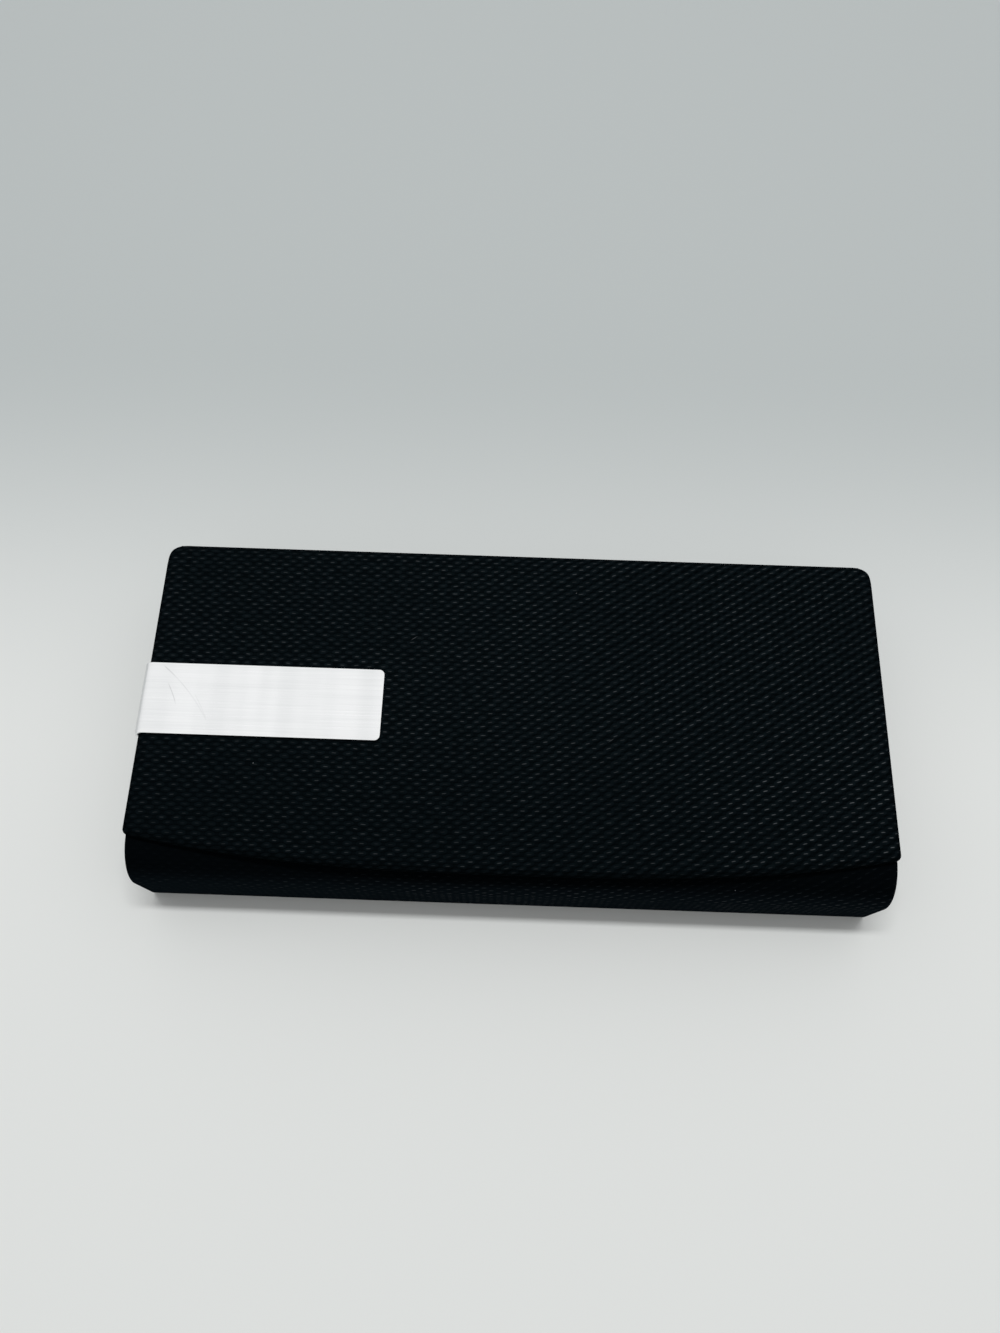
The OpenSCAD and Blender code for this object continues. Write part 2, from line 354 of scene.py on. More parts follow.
@dataclass
class Path:
    """A line in the Y-Z plane of straight runs and left quarter turns, its heading in degrees."""

    y: float
    z: float
    heading: float
    walked: float = 0.0
    stations: list[Station] = field(default_factory=list)

    def __post_init__(self) -> None:
        """Put a station at the start."""
        self._mark()

    def _mark(self) -> None:
        """Put a station where the path has come to."""
        self.stations.append(Station(self.y, self.z, self.walked))

    def run(self, length: float, steps: int = 1) -> None:
        """Go straight on.

        Args:
            length: How far.
            steps: In how many steps.
        """
        ahead = math.radians(self.heading)
        for _ in range(steps):
            self.y += math.cos(ahead) * length / steps
            self.z += math.sin(ahead) * length / steps
            self.walked += length / steps
            self._mark()

    def turn(self, radius: float, steps: int) -> None:
        """Turn left round a quarter circle.

        Args:
            radius: Radius of the arc.
            steps: In how many steps.
        """
        left = math.radians(self.heading + QUARTER_DEGREES)
        centre_y = self.y + radius * math.cos(left)
        centre_z = self.z + radius * math.sin(left)
        for _ in range(steps):
            self.heading += QUARTER_DEGREES / steps
            right = math.radians(self.heading - QUARTER_DEGREES)
            self.y = centre_y + radius * math.cos(right)
            self.z = centre_z + radius * math.sin(right)
            self.walked += radius * math.radians(QUARTER_DEGREES / steps)
            self._mark()


@dataclass(frozen=True)
class FoldRow:
    """One row of a folded border: how far out, how far under, and how far along."""

    out: float = 0.0
    under: float = 0.0
    walked: float = 0.0


def round_over(reach: float, depth: float, steps: int) -> list[FoldRow]:
    """The rows of a border that rounds over a quarter turn.

    Args:
        reach: How far out the rounding goes.
        depth: How far under it goes.
        steps: Number of rows.

    Returns:
        The rows, outwards from the face.
    """
    rows = [FoldRow()]
    for step in range(1, steps + 1):
        angle = math.radians(QUARTER_DEGREES) * step / steps
        out, under = reach * math.sin(angle), depth * (1 - math.cos(angle))
        stride = math.hypot(out - rows[-1].out, under - rows[-1].under)
        rows.append(FoldRow(out, under, rows[-1].walked + stride))
    return rows[1:]


def sheet_on(
    name: str, path: Path, columns: int, place: Callable[[float, Station], Vector]
) -> Object:
    """Lay a grid along a path as one open sheet with its faces outwards.

    Args:
        name: The new object's name.
        path: The side profile that the sheet follows.
        columns: Number of faces across.
        place: Gives a point for a share across, from -1 to 1, and a station.

    Returns:
        The new object, with its unrolled coordinates in an attribute.
    """
    rows = len(path.stations) - 1
    sheet = started(
        name, bpy.ops.mesh.primitive_grid_add, x_subdivisions=columns, y_subdivisions=rows, size=1
    )
    with edit_mode(sheet):
        mesh = bmesh.from_edit_mesh(sheet.data)
        flat = mesh.verts.layers.float_vector.new(FLAT)
        for vert in mesh.verts:
            station = path.stations[round((vert.co.y + 0.5) * rows)]
            vert.co = place(2 * vert.co.x, station)
            vert[flat] = Vector((vert.co.x, station.walked, 0))
        mesh.normal_update()
        bmesh.update_edit_mesh(sheet.data)
        bpy.ops.mesh.select_all(action="SELECT")
        bpy.ops.mesh.flip_normals()
    return sheet


def border_ways(vert: BMVert) -> tuple[Vector, Vector]:
    """The ways out of a sheet and under it at a vertex of its selected border.

    Args:
        vert: A vertex on the border.

    Returns:
        The way out, lengthened at a corner as a mitre is, and the way under.
    """
    ways = []
    for edge in vert.link_edges:
        if edge.select and len(edge.link_faces) == 1:
            face = edge.link_faces[0]
            first, second = (end.co for end in edge.verts)
            way = (second - first).normalized().cross(face.normal)
            if way.dot((first + second) / 2 - face.calc_center_median()) < 0:
                way.negate()
            ways.append(way.normalized())
    out = sum(ways, Vector())
    if len(ways) == 2:
        out = out / (1 + ways[0].dot(ways[1]))
    return out, -vert.normal


def fold_border(
    sheet: Object,
    wanted: Callable[[BMEdge], bool],
    rows: list[FoldRow],
    reach: Callable[[Vector], float],
    tip: Callable[[Vector, Vector], Vector] = lambda spot, out: out,
) -> None:
    """Extrude a sheet's border row by row, out, round and under.

    Args:
        sheet: The open sheet.
        wanted: Says whether a border edge is folded.
        rows: The rows of the fold, from the face outwards.
        reach: The furthest that the fold goes under at a place on the border.
        tip: Gives the way out at a place, from the place and the plain way out.
    """
    with edit_mode(sheet):
        choose(sheet, MeshPart.EDGES, lambda e: e.is_boundary and wanted(e))
        mesh = bmesh.from_edit_mesh(sheet.data)
        layers = mesh.verts.layers.float_vector
        for name in FOLD_LAYERS:
            layers.new(name)
        mesh.normal_update()
        for vert in [v for v in mesh.verts if v.select]:
            out, under = border_ways(vert)
            ways = (vert.co, tip(vert.co, out), under, vert[layers[FLAT]])
            for name, way in zip(FOLD_LAYERS, ways):
                vert[layers[name]] = way
        bmesh.update_edit_mesh(sheet.data)
        for row in rows:
            bpy.ops.mesh.extrude_edges_move()
            mesh = bmesh.from_edit_mesh(sheet.data)
            layers = mesh.verts.layers.float_vector
            for vert in [v for v in mesh.verts if v.select]:
                base, out, under, flat = (vert[layers[name]] for name in FOLD_LAYERS)
                vert.co = base + out * row.out + under * min(row.under, reach(base))
                vert[layers[FLAT]] = flat + Vector((out.x, -out.y, 0)) * row.walked
            bmesh.update_edit_mesh(sheet.data)
        for name in FOLD_LAYERS:
            mesh = bmesh.from_edit_mesh(sheet.data)
            layers = mesh.verts.layers.float_vector
            layers.remove(layers[name])
        bmesh.update_edit_mesh(sheet.data)


def thicken(sheet: Object, thickness: float) -> None:
    """Give an open sheet its thickness, inwards, and its UV map from the unrolled coordinates.

    Args:
        sheet: The open sheet.
        thickness: How thick the cloth is.
    """
    apply_modifier(sheet, "SOLIDIFY", thickness=thickness, offset=-1.0, use_even_offset=True)
    data = sheet.data
    spots = [Vector(item.vector) for item in data.attributes[FLAT].data]
    layer = data.uv_layers.new(name=UV_NAME)
    for loop in data.loops:
        layer.data[loop.index].uv = spots[loop.vertex_index].xy
    data.attributes.remove(data.attributes[FLAT])
    shade(sheet, CLOTH_SHARP)


# Node trees


class Graph:
    """Adds nodes to one node tree and links them."""

    def __init__(self, tree: NodeTree) -> None:
        """Work on the node tree of a material, world or group."""
        self.tree = tree

    def add(self, kind: str, *values: object, **settings: object) -> Node:
        """Add a node and feed its inputs.

        Args:
            kind: Blender's name for the node, after ShaderNode.
            *values: What its inputs get, in their order, with None for one left as it is.
            **settings: The node's own properties.

        Returns:
            The new node.
        """
        node = self.tree.nodes.new("ShaderNode" + kind)
        for name, value in settings.items():
            setattr(node, name, value)
        for target, value in zip(node.inputs, values):
            if value is not None:
                self.feed(target, value)
        return node

    def feed(self, target: NodeSocket, value: object) -> None:
        """Link a socket to another, or set its value.

        Args:
            target: The input socket.
            value: An output socket, a number, a colour or a vector.
        """
        if isinstance(value, NodeSocket):
            self.tree.links.new(value, target)
        elif target.type == "RGBA":
            target.default_value = (*value, 1.0)
        else:
            target.default_value = value

    def fill(self, node: Node, **values: object) -> Node:
        """Feed a node's inputs by name.

        Args:
            node: The node.
            **values: What its inputs get, with _ for a space in the name.

        Returns:
            The node.
        """
        for name, value in values.items():
            self.feed(node.inputs[name.replace("_", " ")], value)
        return node

    def math(self, operation: str, *values: object, clamp: bool = False) -> NodeSocket:
        """A number worked out from others by one of Blender's operations."""
        return self.add("Math", *values, operation=operation, use_clamp=clamp).outputs[0]

    def times(self, first: object, *others: object) -> NodeSocket:
        """The product of two or more numbers.

        Args:
            first: A number or a socket.
            *others: More of them.

        Returns:
            The product's socket.
        """
        for other in others:
            first = self.math("MULTIPLY", first, other)
        return first

    def inverse(self, size: NodeSocket) -> NodeSocket:
        """One over a number."""
        return self.math("DIVIDE", 1.0, size)

    def vector(self, operation: str, *values: object) -> NodeSocket:
        """A vector worked out from others by one of Blender's operations."""
        return self.add("VectorMath", *values, operation=operation).outputs["Vector"]

    def measure(self, operation: str, *values: object) -> NodeSocket:
        """A number worked out from vectors by one of Blender's operations."""
        return self.add("VectorMath", *values, operation=operation).outputs["Value"]

    def split(self, vector: NodeSocket) -> tuple[NodeSocket, ...]:
        """A vector's X, Y and Z."""
        return tuple(self.add("SeparateXYZ", vector).outputs)

    def noise(self, vector: NodeSocket, scale: object, detail: float) -> NodeSocket:
        """Soft noise about 0.5, by its features per metre and its octaves of finer noise."""
        return self.add("TexNoise", vector, None, scale, detail).outputs[0]

    def streaks(self, vector: NodeSocket, scale: Axes, detail: float) -> NodeSocket:
        """Soft noise about 0.5, by its features per metre along each axis."""
        return self.noise(self.vector("MULTIPLY", vector, scale), 1.0, detail)

    def cells(self, vector: NodeSocket, scale: object) -> Sockets:
        """A cell pattern's outputs, by its cells per metre."""
        return self.add("TexVoronoi", vector, None, scale).outputs

    def remap(self, value: NodeSocket, *ramp: float) -> NodeSocket:
        """Carry a range over to another, smoothly: its low and high end, and what they become."""
        return self.add("MapRange", value, *ramp, interpolation_type="SMOOTHSTEP").outputs[0]

    def blend(self, share: object, first: object, second: object) -> NodeSocket:
        """Mix two colours by the share of the second, past the inputs for other kinds of value."""
        values = (share, *MIX_OTHER_KINDS, first, second)
        return self.add("Mix", *values, data_type="RGBA").outputs[2]

    def bump(self, height: NodeSocket, distance: float) -> NodeSocket:
        """Turn a height of about 0 to 1 into a normal, by how high 1 stands."""
        return self.fill(self.add("Bump"), Strength=1.0, Distance=distance, Height=height).outputs[0]


@dataclass
class Effects:
    """Builds each shared node group once and hands it out."""

    stray_scale: float = 420.0
    float_size: Range = (0.86, 0.62)
    fullness: float = 0.7
    under_height: float = 0.3
    crown_length: Range = (0.12, 0.42)
    crown_width: float = 0.15
    speck: Range = (0.02, 0.05)
    lean_scale: float = 90.0
    lean: Range = (0.35, 0.65)
    fine_brush: Axes = (45.0, 5200.0, 45.0)
    broad_brush: Axes = (14.0, 900.0, 14.0)
    trees: dict[Effect, NodeTree] = field(default_factory=dict)

    def get(self, effect: Effect) -> NodeTree:
        """Find a group, building it the first time.

        Args:
            effect: Which group.

        Returns:
            The group's node tree.
        """
        if effect not in self.trees:
            builders = {
                Effect.PLAIN_WEAVE: self._plain_weave,
                Effect.MOTTLE: self._mottle,
                Effect.LINT: self._lint,
                Effect.PILE: self._pile,
                Effect.BRUSHED_GRAIN: self._brushed_grain,
            }
            tree = bpy.data.node_groups.new(effect.name.lower(), "ShaderNodeTree")
            self._sockets(tree, "INPUT", ("Vector", *effect.value))
            graph = Graph(tree)
            results = builders[effect](graph, tree.nodes.new("NodeGroupInput").outputs)
            self._sockets(tree, "OUTPUT", tuple(results))
            graph.fill(tree.nodes.new("NodeGroupOutput"), **results)
            self.trees[effect] = tree
        return self.trees[effect]

    @staticmethod
    def _sockets(tree: NodeTree, way: str, names: tuple[str, ...]) -> None:
        """Give a group its sockets, numbers apart from the place.

        Args:
            tree: The group.
            way: Whether they go in or out.
            names: Their names.
        """
        for name in names:
            kind = "NodeSocketVector" if name == "Vector" else "NodeSocketFloat"
            tree.interface.new_socket(name, in_out=way, socket_type=kind)

    def _plain_weave(self, graph: Graph, given: Sockets) -> Sockets:
        """Staggered crosswise floats that nearly hide the lengthwise yarns under them.

        Args:
            graph: The group's graph.
            given: The group's inputs.

        Returns:
            The height, the crown of each float, and a chance for each crossing.
        """
        place = self._strayed(graph, given["Vector"], given["Wander"])
        across, along, _ = graph.split(place)
        across = graph.math("DIVIDE", across, given["Warp Pitch"])
        along = graph.math("DIVIDE", along, given["Weft Pitch"])
        column, row = graph.math("FLOOR", across), graph.math("FLOOR", along)
        under = graph.math("FLOORED_MODULO", graph.math("ADD", column, row), 2.0)
        offs, nexts, swells = [], [], []
        for pitches in (across, along):
            off = graph.math("SUBTRACT", graph.math("FRACT", pitches), 0.5)
            side = graph.times(off, 2.0)
            offs.append(off)
            nexts.append(graph.math("SUBTRACT", off, graph.times(under, graph.math("SIGN", off))))
            swells.append(graph.math("SUBTRACT", 1.0, graph.times(side, side)))
        slant = given["Slant"]
        beside = self._float_height(graph, nexts[0], offs[1], slant)
        ahead = self._float_height(graph, offs[0], nexts[1], slant)
        crosswise = graph.math("MAXIMUM", beside, ahead, clamp=True)
        crosswise = graph.math("POWER", crosswise, self.fullness)
        lengthwise = graph.times(*swells, under, self.under_height)
        lean = graph.math("SUBTRACT", offs[1], graph.times(offs[0], slant))
        # The crown of each float, where the finishes paint a highlight
        crown = graph.times(
            graph.remap(graph.math("ABSOLUTE", offs[0]), *self.crown_length, 1.0, 0.0),
            graph.remap(graph.math("ABSOLUTE", lean), 0.0, self.crown_width, 1.0, 0.0),
            graph.math("SUBTRACT", 1.0, under),
        )
        crossing = graph.add("CombineXYZ", column, row).outputs[0]
        chance = graph.add("TexWhiteNoise", crossing, noise_dimensions="2D").outputs["Value"]
        height = graph.math("MAXIMUM", crosswise, lengthwise)
        return {"Height": height, "Crown": crown, "Chance": chance}

    def _strayed(self, graph: Graph, place: NodeSocket, wander: NodeSocket) -> NodeSocket:
        """Coordinates that wander a little, as hand-stretched cloth does.

        Args:
            graph: The group's graph.
            place: The coordinates.
            wander: How far they stray.

        Returns:
            The strayed coordinates.
        """
        stray = graph.add("TexNoise", place, None, self.stray_scale, 1.0).outputs["Color"]
        stray = graph.vector("SUBTRACT", stray, NOISE_MIDDLE)
        stray = graph.vector("SCALE", stray, None, None, wander)
        return graph.vector("ADD", place, stray)

    def _float_height(
        self, graph: Graph, off_x: NodeSocket, off_y: NodeSocket, slant: NodeSocket
    ) -> NodeSocket:
        """The height of a long oval float at a distance from its middle.

        Args:
            graph: The group's graph.
            off_x: Distance along the float, in pitches.
            off_y: Distance across it, in pitches.
            slant: How far it climbs across for each pitch along.

        Returns:
            The height, 1 in the middle and under 0 outside the float.
        """
        lean = graph.math("SUBTRACT", off_y, graph.times(off_x, slant))
        long_way = graph.math("DIVIDE", off_x, self.float_size[0])
        short_way = graph.math("DIVIDE", lean, self.float_size[1])
        spread = graph.math("MULTIPLY_ADD", short_way, short_way, graph.times(long_way, long_way))
        return graph.math("SUBTRACT", 1.0, spread)

    def _mottle(self, graph: Graph, given: Sockets) -> Sockets:
        """Slow unevenness of tone.

        Args:
            graph: The group's graph.
            given: The group's inputs.

        Returns:
            A factor about 1.
        """
        tone = graph.noise(given["Vector"], graph.inverse(given["Size"]), detail=3.0)
        swing = graph.times(graph.math("SUBTRACT", tone, 0.5), 2.0)
        return {"Factor": graph.math("MULTIPLY_ADD", swing, given["Amount"], 1.0)}

    def _lint(self, graph: Graph, given: Sockets) -> Sockets:
        """Tiny specks of dust and short fibres.

        Args:
            graph: The group's graph.
            given: The group's inputs.

        Returns:
            A mask of the specks.
        """
        cells = graph.cells(given["Vector"], graph.inverse(given["Spacing"]))
        speck = graph.remap(cells["Distance"], *self.speck, 1.0, 0.0)
        pick = graph.add("SeparateColor", cells["Color"]).outputs[0]
        return {"Mask": graph.times(speck, graph.math("LESS_THAN", pick, given["Share"]))}

    def _pile(self, graph: Graph, given: Sockets) -> Sockets:
        """Short upright fibres that lean in patches.

        Args:
            graph: The group's graph.
            given: The group's inputs.

        Returns:
            The height of the fibres, and the lean of the nap.
        """
        fine = graph.noise(given["Vector"], graph.inverse(given["Fibre"]), detail=3.0)
        broad = graph.noise(given["Vector"], self.lean_scale, detail=2.0)
        return {"Height": fine, "Lean": graph.remap(broad, *self.lean, 0.0, 1.0)}

    def _brushed_grain(self, graph: Graph, given: Sockets) -> Sockets:
        """Fine lines along X, as brushing leaves on metal.

        Args:
            graph: The group's graph.
            given: The group's inputs.

        Returns:
            The lines, and a slower band of tone.
        """
        lines = graph.streaks(given["Vector"], self.fine_brush, detail=3.0)
        return {"Lines": lines, "Band": graph.streaks(given["Vector"], self.broad_brush, detail=2.0)}


class Paint(Graph):
    """The graph of one new material, with its shader and the shared groups."""

    def __init__(self, name: str, effects: Effects) -> None:
        """Start a material.

        Args:
            name: The material's name.
            effects: The shared node groups.
        """
        self.material = bpy.data.materials.new(name)
        self.material.use_nodes = True
        super().__init__(self.material.node_tree)
        self.effects = effects
        self.shader = self.tree.nodes["Principled BSDF"]

    def finish(self, **values: object) -> None:
        """Feed the shader's inputs by name, with _ for a space."""
        self.fill(self.shader, **values)

    def effect(self, effect: Effect, **values: object) -> Sockets:
        """Place a shared group, feed its inputs by name and hand out its outputs."""
        return self.fill(self.add("Group", node_tree=self.effects.get(effect)), **values).outputs

    def place(self) -> NodeSocket:
        """Object coordinates."""
        return self.add("TexCoord").outputs["Object"]

    def facing(self) -> tuple[NodeSocket, ...]:
        """X, Y and Z of the way that the surface faces on the object."""
        return self.split(self.add("TexCoord").outputs["Normal"])

    def specks(self, place: NodeSocket, spread: Range) -> NodeSocket:
        """A mask of lint, by its spacing and the share of the places that have some."""
        return self.effect(Effect.LINT, Vector=place, Spacing=spread[0], Share=spread[1])["Mask"]

    def roughen(self, place: NodeSocket, worn: Range, rough: float) -> NodeSocket:
        """Make the roughness slowly uneven.

        Args:
            place: The coordinates.
            worn: The size and the amount of the unevenness.
            rough: The roughness about which it swings.

        Returns:
            The unevenness, a factor about 1.
        """
        tone = self.effect(Effect.MOTTLE, Vector=place, Size=worn[0], Amount=worn[1])["Factor"]
        self.finish(Roughness=self.times(tone, rough))
        return tone


# Finishes


class Finish(ABC):
    """A finish that can be made into a material."""

    @abstractmethod
    def apply(self, paint: Paint) -> None:
        """Build the finish in a new material's graph."""

    def material(self, look: Look, effects: Effects) -> Material:
        """Build the material.

        Args:
            look: Which finish of the case it is.
            effects: The shared node groups.

        Returns:
            The material.
        """
        paint = Paint(look.value, effects)
        self.apply(paint)
        return paint.material


@dataclass(frozen=True)
class WovenCloth(Finish):
    """Coarse near-black plain weave with painted glints on its floats and painted shade on its yarn.
    """

    # Painted shade: the dark in the weave's valleys, then the yarn on the floats
    valley_shade: Colour = (0.0009, 0.0019, 0.0024)
    yarn: Colour = (0.0052, 0.0086, 0.0106)
    # Painted highlight: the colour of the glint on each float's crown
    crown: Colour = (0.095, 0.105, 0.112)
    lint: Colour = (0.20, 0.21, 0.22)
    warp_pitch: float = 1.485 * MM
    weft_pitch: float = 0.995 * MM
    wander: float = 0.6 * MM
    relief: float = 0.20 * MM
    hump_full: float = 0.62
    fibre: Axes = (900.0, 9000.0, 1.0)
    fibre_tone: Ramp = (0.3, 0.7, 0.75, 1.0)
    fibre_relief: float = 0.1
    uneven_scale: float = 620.0
    uneven: Ramp = (0.32, 0.68, 0.45, 1.0)
    patch_scale: float = 38.0
    patch: Ramp = (0.3, 0.7, 0.6, 1.0)
    chance: Range = (0.25, 1.0)
    worn: Range = (14 * MM, 0.18)
    rough: float = 0.75
    gloss: float = 0.25
    gloss_rough: float = 0.35
    # Painted highlight on the floats and painted shade on the yarn, by how far the cloth faces up
    facing: Range = (0.88, 0.995)
    facing_glint: Range = (0.3, 1.0)
    facing_shade: Range = (0.8, 1.0)
    # How the weave changes over the unrolled cloth, across from its middle and along from its foot,
    # in painted highlight and painted shade
    # Painted highlight: the glints weaken to the left end and the front, and grow at one back corner
    glint_level: Range = (0.36, 0.56)
    glint_across: Range = (-70 * MM, 0.0)
    front_along: Range = (50 * MM, 98 * MM)
    front_glint: float = 0.64
    front_shade: float = 0.66
    corner_across: Range = (34 * MM, 64 * MM)
    corner_along: Range = (45 * MM, 85 * MM)
    corner_glint: float = 0.70
    # Painted shade on the yarn, darker to the left end; the front share above darkens it to the
    # front
    shade_across: Range = (-70 * MM, 70 * MM)
    left_shade: float = 0.82
    slant: Range = (-0.02, -0.30)
    slant_across: Range = (-45 * MM, 45 * MM)
    back_across: Range = (0.0, 40 * MM)
    back_along: Range = (50 * MM, 85 * MM)
    back_slant: float = -0.26
    # Lint and stray hairs, each by its spacing and its share
    speck: Range = (2.6 * MM, 0.02)
    hair: Range = (5 * MM, 0.06)
    hair_turn: float = math.radians(35)
    hair_stretch: Axes = (0.22, 2.6, 1.0)
    hair_shows: float = 0.3

    def apply(self, paint: Paint) -> None:
        """Build the finish.

        Args:
            paint: The material's graph.
        """
        flat = paint.add("UVMap", uv_map=UV_NAME).outputs[0]
        glint_level, tone, slant = self._over_cloth(paint, flat)
        weave = paint.effect(
            Effect.PLAIN_WEAVE,
            Vector=flat,
            Warp_Pitch=self.warp_pitch,
            Weft_Pitch=self.weft_pitch,
            Wander=self.wander,
            Slant=slant,
        )
        facing_up = paint.facing()[2]
        fibre = paint.streaks(flat, self.fibre, detail=2.0)
        # Painted highlight: where each float's crown glints, by chance, patch, place and how far the
        # cloth faces up
        crown = paint.times(
            paint.remap(weave["Chance"], 0.0, 1.0, *self.chance),
            paint.remap(paint.noise(flat, self.patch_scale, detail=1.0), *self.patch),
            paint.remap(facing_up, *self.facing, *self.facing_glint),
            glint_level,
            weave["Crown"],
        )
        # Painted shade: the yarn's share falls away into the weave's valleys, and with the tone
        # towards the left end and the front
        hump = paint.times(
            paint.remap(weave["Height"], 0.0, self.hump_full, 0.0, 1.0),
            paint.remap(fibre, *self.fibre_tone),
            paint.remap(paint.noise(flat, self.uneven_scale, detail=2.0), *self.uneven),
            tone,
        )
        colour = paint.blend(hump, self.valley_shade, self.yarn)
        # Painted shade: the yarn darkens where the cloth turns from facing up
        shown = paint.remap(facing_up, *self.facing, *self.facing_shade)
        colour = paint.blend(shown, BLACK, colour)
        # Painted highlight laid over the yarn on the floats' crowns
        colour = paint.blend(crown, colour, self.crown)
        height = paint.math("MULTIPLY_ADD", fibre, self.fibre_relief, weave["Height"])
        paint.roughen(flat, self.worn, self.rough)
        paint.finish(
            Base_Color=paint.blend(self._dust(paint, flat), colour, self.lint),
            Specular_IOR_Level=0.0,
            Coat_Weight=paint.times(crown, self.gloss),
            Coat_Roughness=self.gloss_rough,
            Normal=paint.bump(height, self.relief),
        )

    def _over_cloth(self, paint: Paint, flat: NodeSocket) -> tuple[NodeSocket, ...]:
        """How the weave changes over the cloth.

        Args:
            paint: The material's graph.
            flat: The unrolled coordinates.

        Returns:
            How strong the painted glints are, weakest at the left end and the front and strongest
            at one corner; the painted shade on the yarn, darker at the left end and the front; and
            the floats' slant, most at the right of the back.
        """
        across, along, _ = paint.split(flat)
        # Painted highlight: glint strength across and along the cloth, with more at one corner
        glint_level = paint.times(
            paint.remap(across, *self.glint_across, *self.glint_level),
            paint.remap(along, *self.front_along, 1.0, self.front_glint),
        )
        corner = paint.times(
            paint.remap(across, *self.corner_across, 0.0, self.corner_glint),
            paint.remap(along, *self.corner_along, 0.0, 1.0),
        )
        # Painted shade: the yarn darkens to the left end and to the front
        tone = paint.times(
            paint.remap(across, *self.shade_across, self.left_shade, 1.0),
            paint.remap(along, *self.front_along, 1.0, self.front_shade),
        )
        slant = paint.remap(across, *self.slant_across, *self.slant)
        back = paint.times(
            paint.remap(across, *self.back_across, 0.0, self.back_slant),
            paint.remap(along, *self.back_along, 1.0, 0.0),
        )
        return paint.math("ADD", glint_level, corner), tone, paint.math("ADD", slant, back)

    def _dust(self, paint: Paint, flat: NodeSocket) -> NodeSocket:
        """Specks of lint, and fainter hairs that lie across the weave.

        Args:
            paint: The material's graph.
            flat: The unrolled coordinates.

        Returns:
            A mask of them.
        """
        turned = paint.add("Mapping", flat, None, (0.0, 0.0, self.hair_turn)).outputs[0]
        turned = paint.vector("MULTIPLY", turned, self.hair_stretch)
        hair = paint.specks(turned, self.hair)
        return paint.math("MULTIPLY_ADD", hair, self.hair_shows, paint.specks(flat, self.speck))


@dataclass(frozen=True)
class NappedCloth(Finish):
    """A close nap: velvet, felt or lining."""

    dark: Colour
    light: Colour
    fibre: float
    relief: float
    sheen: float
    sheen_rough: float = 0.4
    specular: float = 0.15
    rough: Range = (0.82, 0.95)
    lint: Colour = (0.2, 0.2, 0.21)
    speck: Range = (3.2 * MM, 0.03)

    def apply(self, paint: Paint) -> None:
        """Build the finish.

        Args:
            paint: The material's graph.
        """
        place = paint.place()
        pile = paint.effect(Effect.PILE, Vector=place, Fibre=self.fibre)
        colour = paint.blend(paint.times(pile["Height"], pile["Lean"]), self.dark, self.light)
        paint.finish(
            Base_Color=paint.blend(paint.specks(place, self.speck), colour, self.lint),
            Roughness=paint.remap(pile["Lean"], 0.0, 1.0, *self.rough),
            Specular_IOR_Level=self.specular,
            Sheen_Weight=self.sheen,
            Sheen_Roughness=self.sheen_rough,
            Normal=paint.bump(pile["Height"], self.relief),
        )


@dataclass(frozen=True)
class CellFoam(Finish):
    """Fine-celled charcoal foam, cut clean, with painted shade in its open cells."""

    wall: Colour = (0.020, 0.020, 0.022)
    # Painted shade: the colour inside the open cells
    shaded_pore: Colour = (0.006, 0.006, 0.007)
    cell: float = 0.35 * MM
    opening: Range = (0.15, 0.55)
    worn: Range = (9 * MM, 0.2)
    rough: float = 0.85
    specular: float = 0.2
    relief: float = 0.1 * MM

    def apply(self, paint: Paint) -> None:
        """Build the finish.

        Args:
            paint: The material's graph.
        """
        place = paint.place()
        cells = paint.cells(place, 1.0 / self.cell)
        # Painted shade: the open cells darker than their walls
        open_cell = paint.remap(cells["Distance"], *self.opening, 1.0, 0.0)
        paint.roughen(place, self.worn, self.rough)
        paint.finish(
            Base_Color=paint.blend(open_cell, self.wall, self.shaded_pore),
            Specular_IOR_Level=self.specular,
            Normal=paint.bump(paint.math("SUBTRACT", 1.0, open_cell), self.relief),
        )


@dataclass(frozen=True)
class PressedBoard(Finish):
    """Grey-brown pressed board with flecks of fibre."""

    pulp: Colour = (0.22, 0.185, 0.14)
    fleck: Colour = (0.09, 0.075, 0.055)
    fibre: Axes = (900.0, 2600.0, 2600.0)
    flecked: Ramp = (0.52, 0.72, 0.0, 0.8)
    worn: Range = (18 * MM, 0.12)
    rough: float = 0.85
    specular: float = 0.25
    relief: float = 0.05 * MM

    def apply(self, paint: Paint) -> None:
        """Build the finish.

        Args:
            paint: The material's graph.
        """
        place = paint.place()
        fibre = paint.streaks(place, self.fibre, detail=4.0)
        paint.roughen(place, self.worn, self.rough)
        paint.finish(
            Base_Color=paint.blend(paint.remap(fibre, *self.flecked), self.pulp, self.fleck),
            Specular_IOR_Level=self.specular,
            Normal=paint.bump(fibre, self.relief),
        )


@dataclass(frozen=True)
class Scratch:
    """A faint arc on the metal in millimetres: centre, radius, width, and its run along X."""

    centre: Range
    radius: float
    width: float
    span: Range


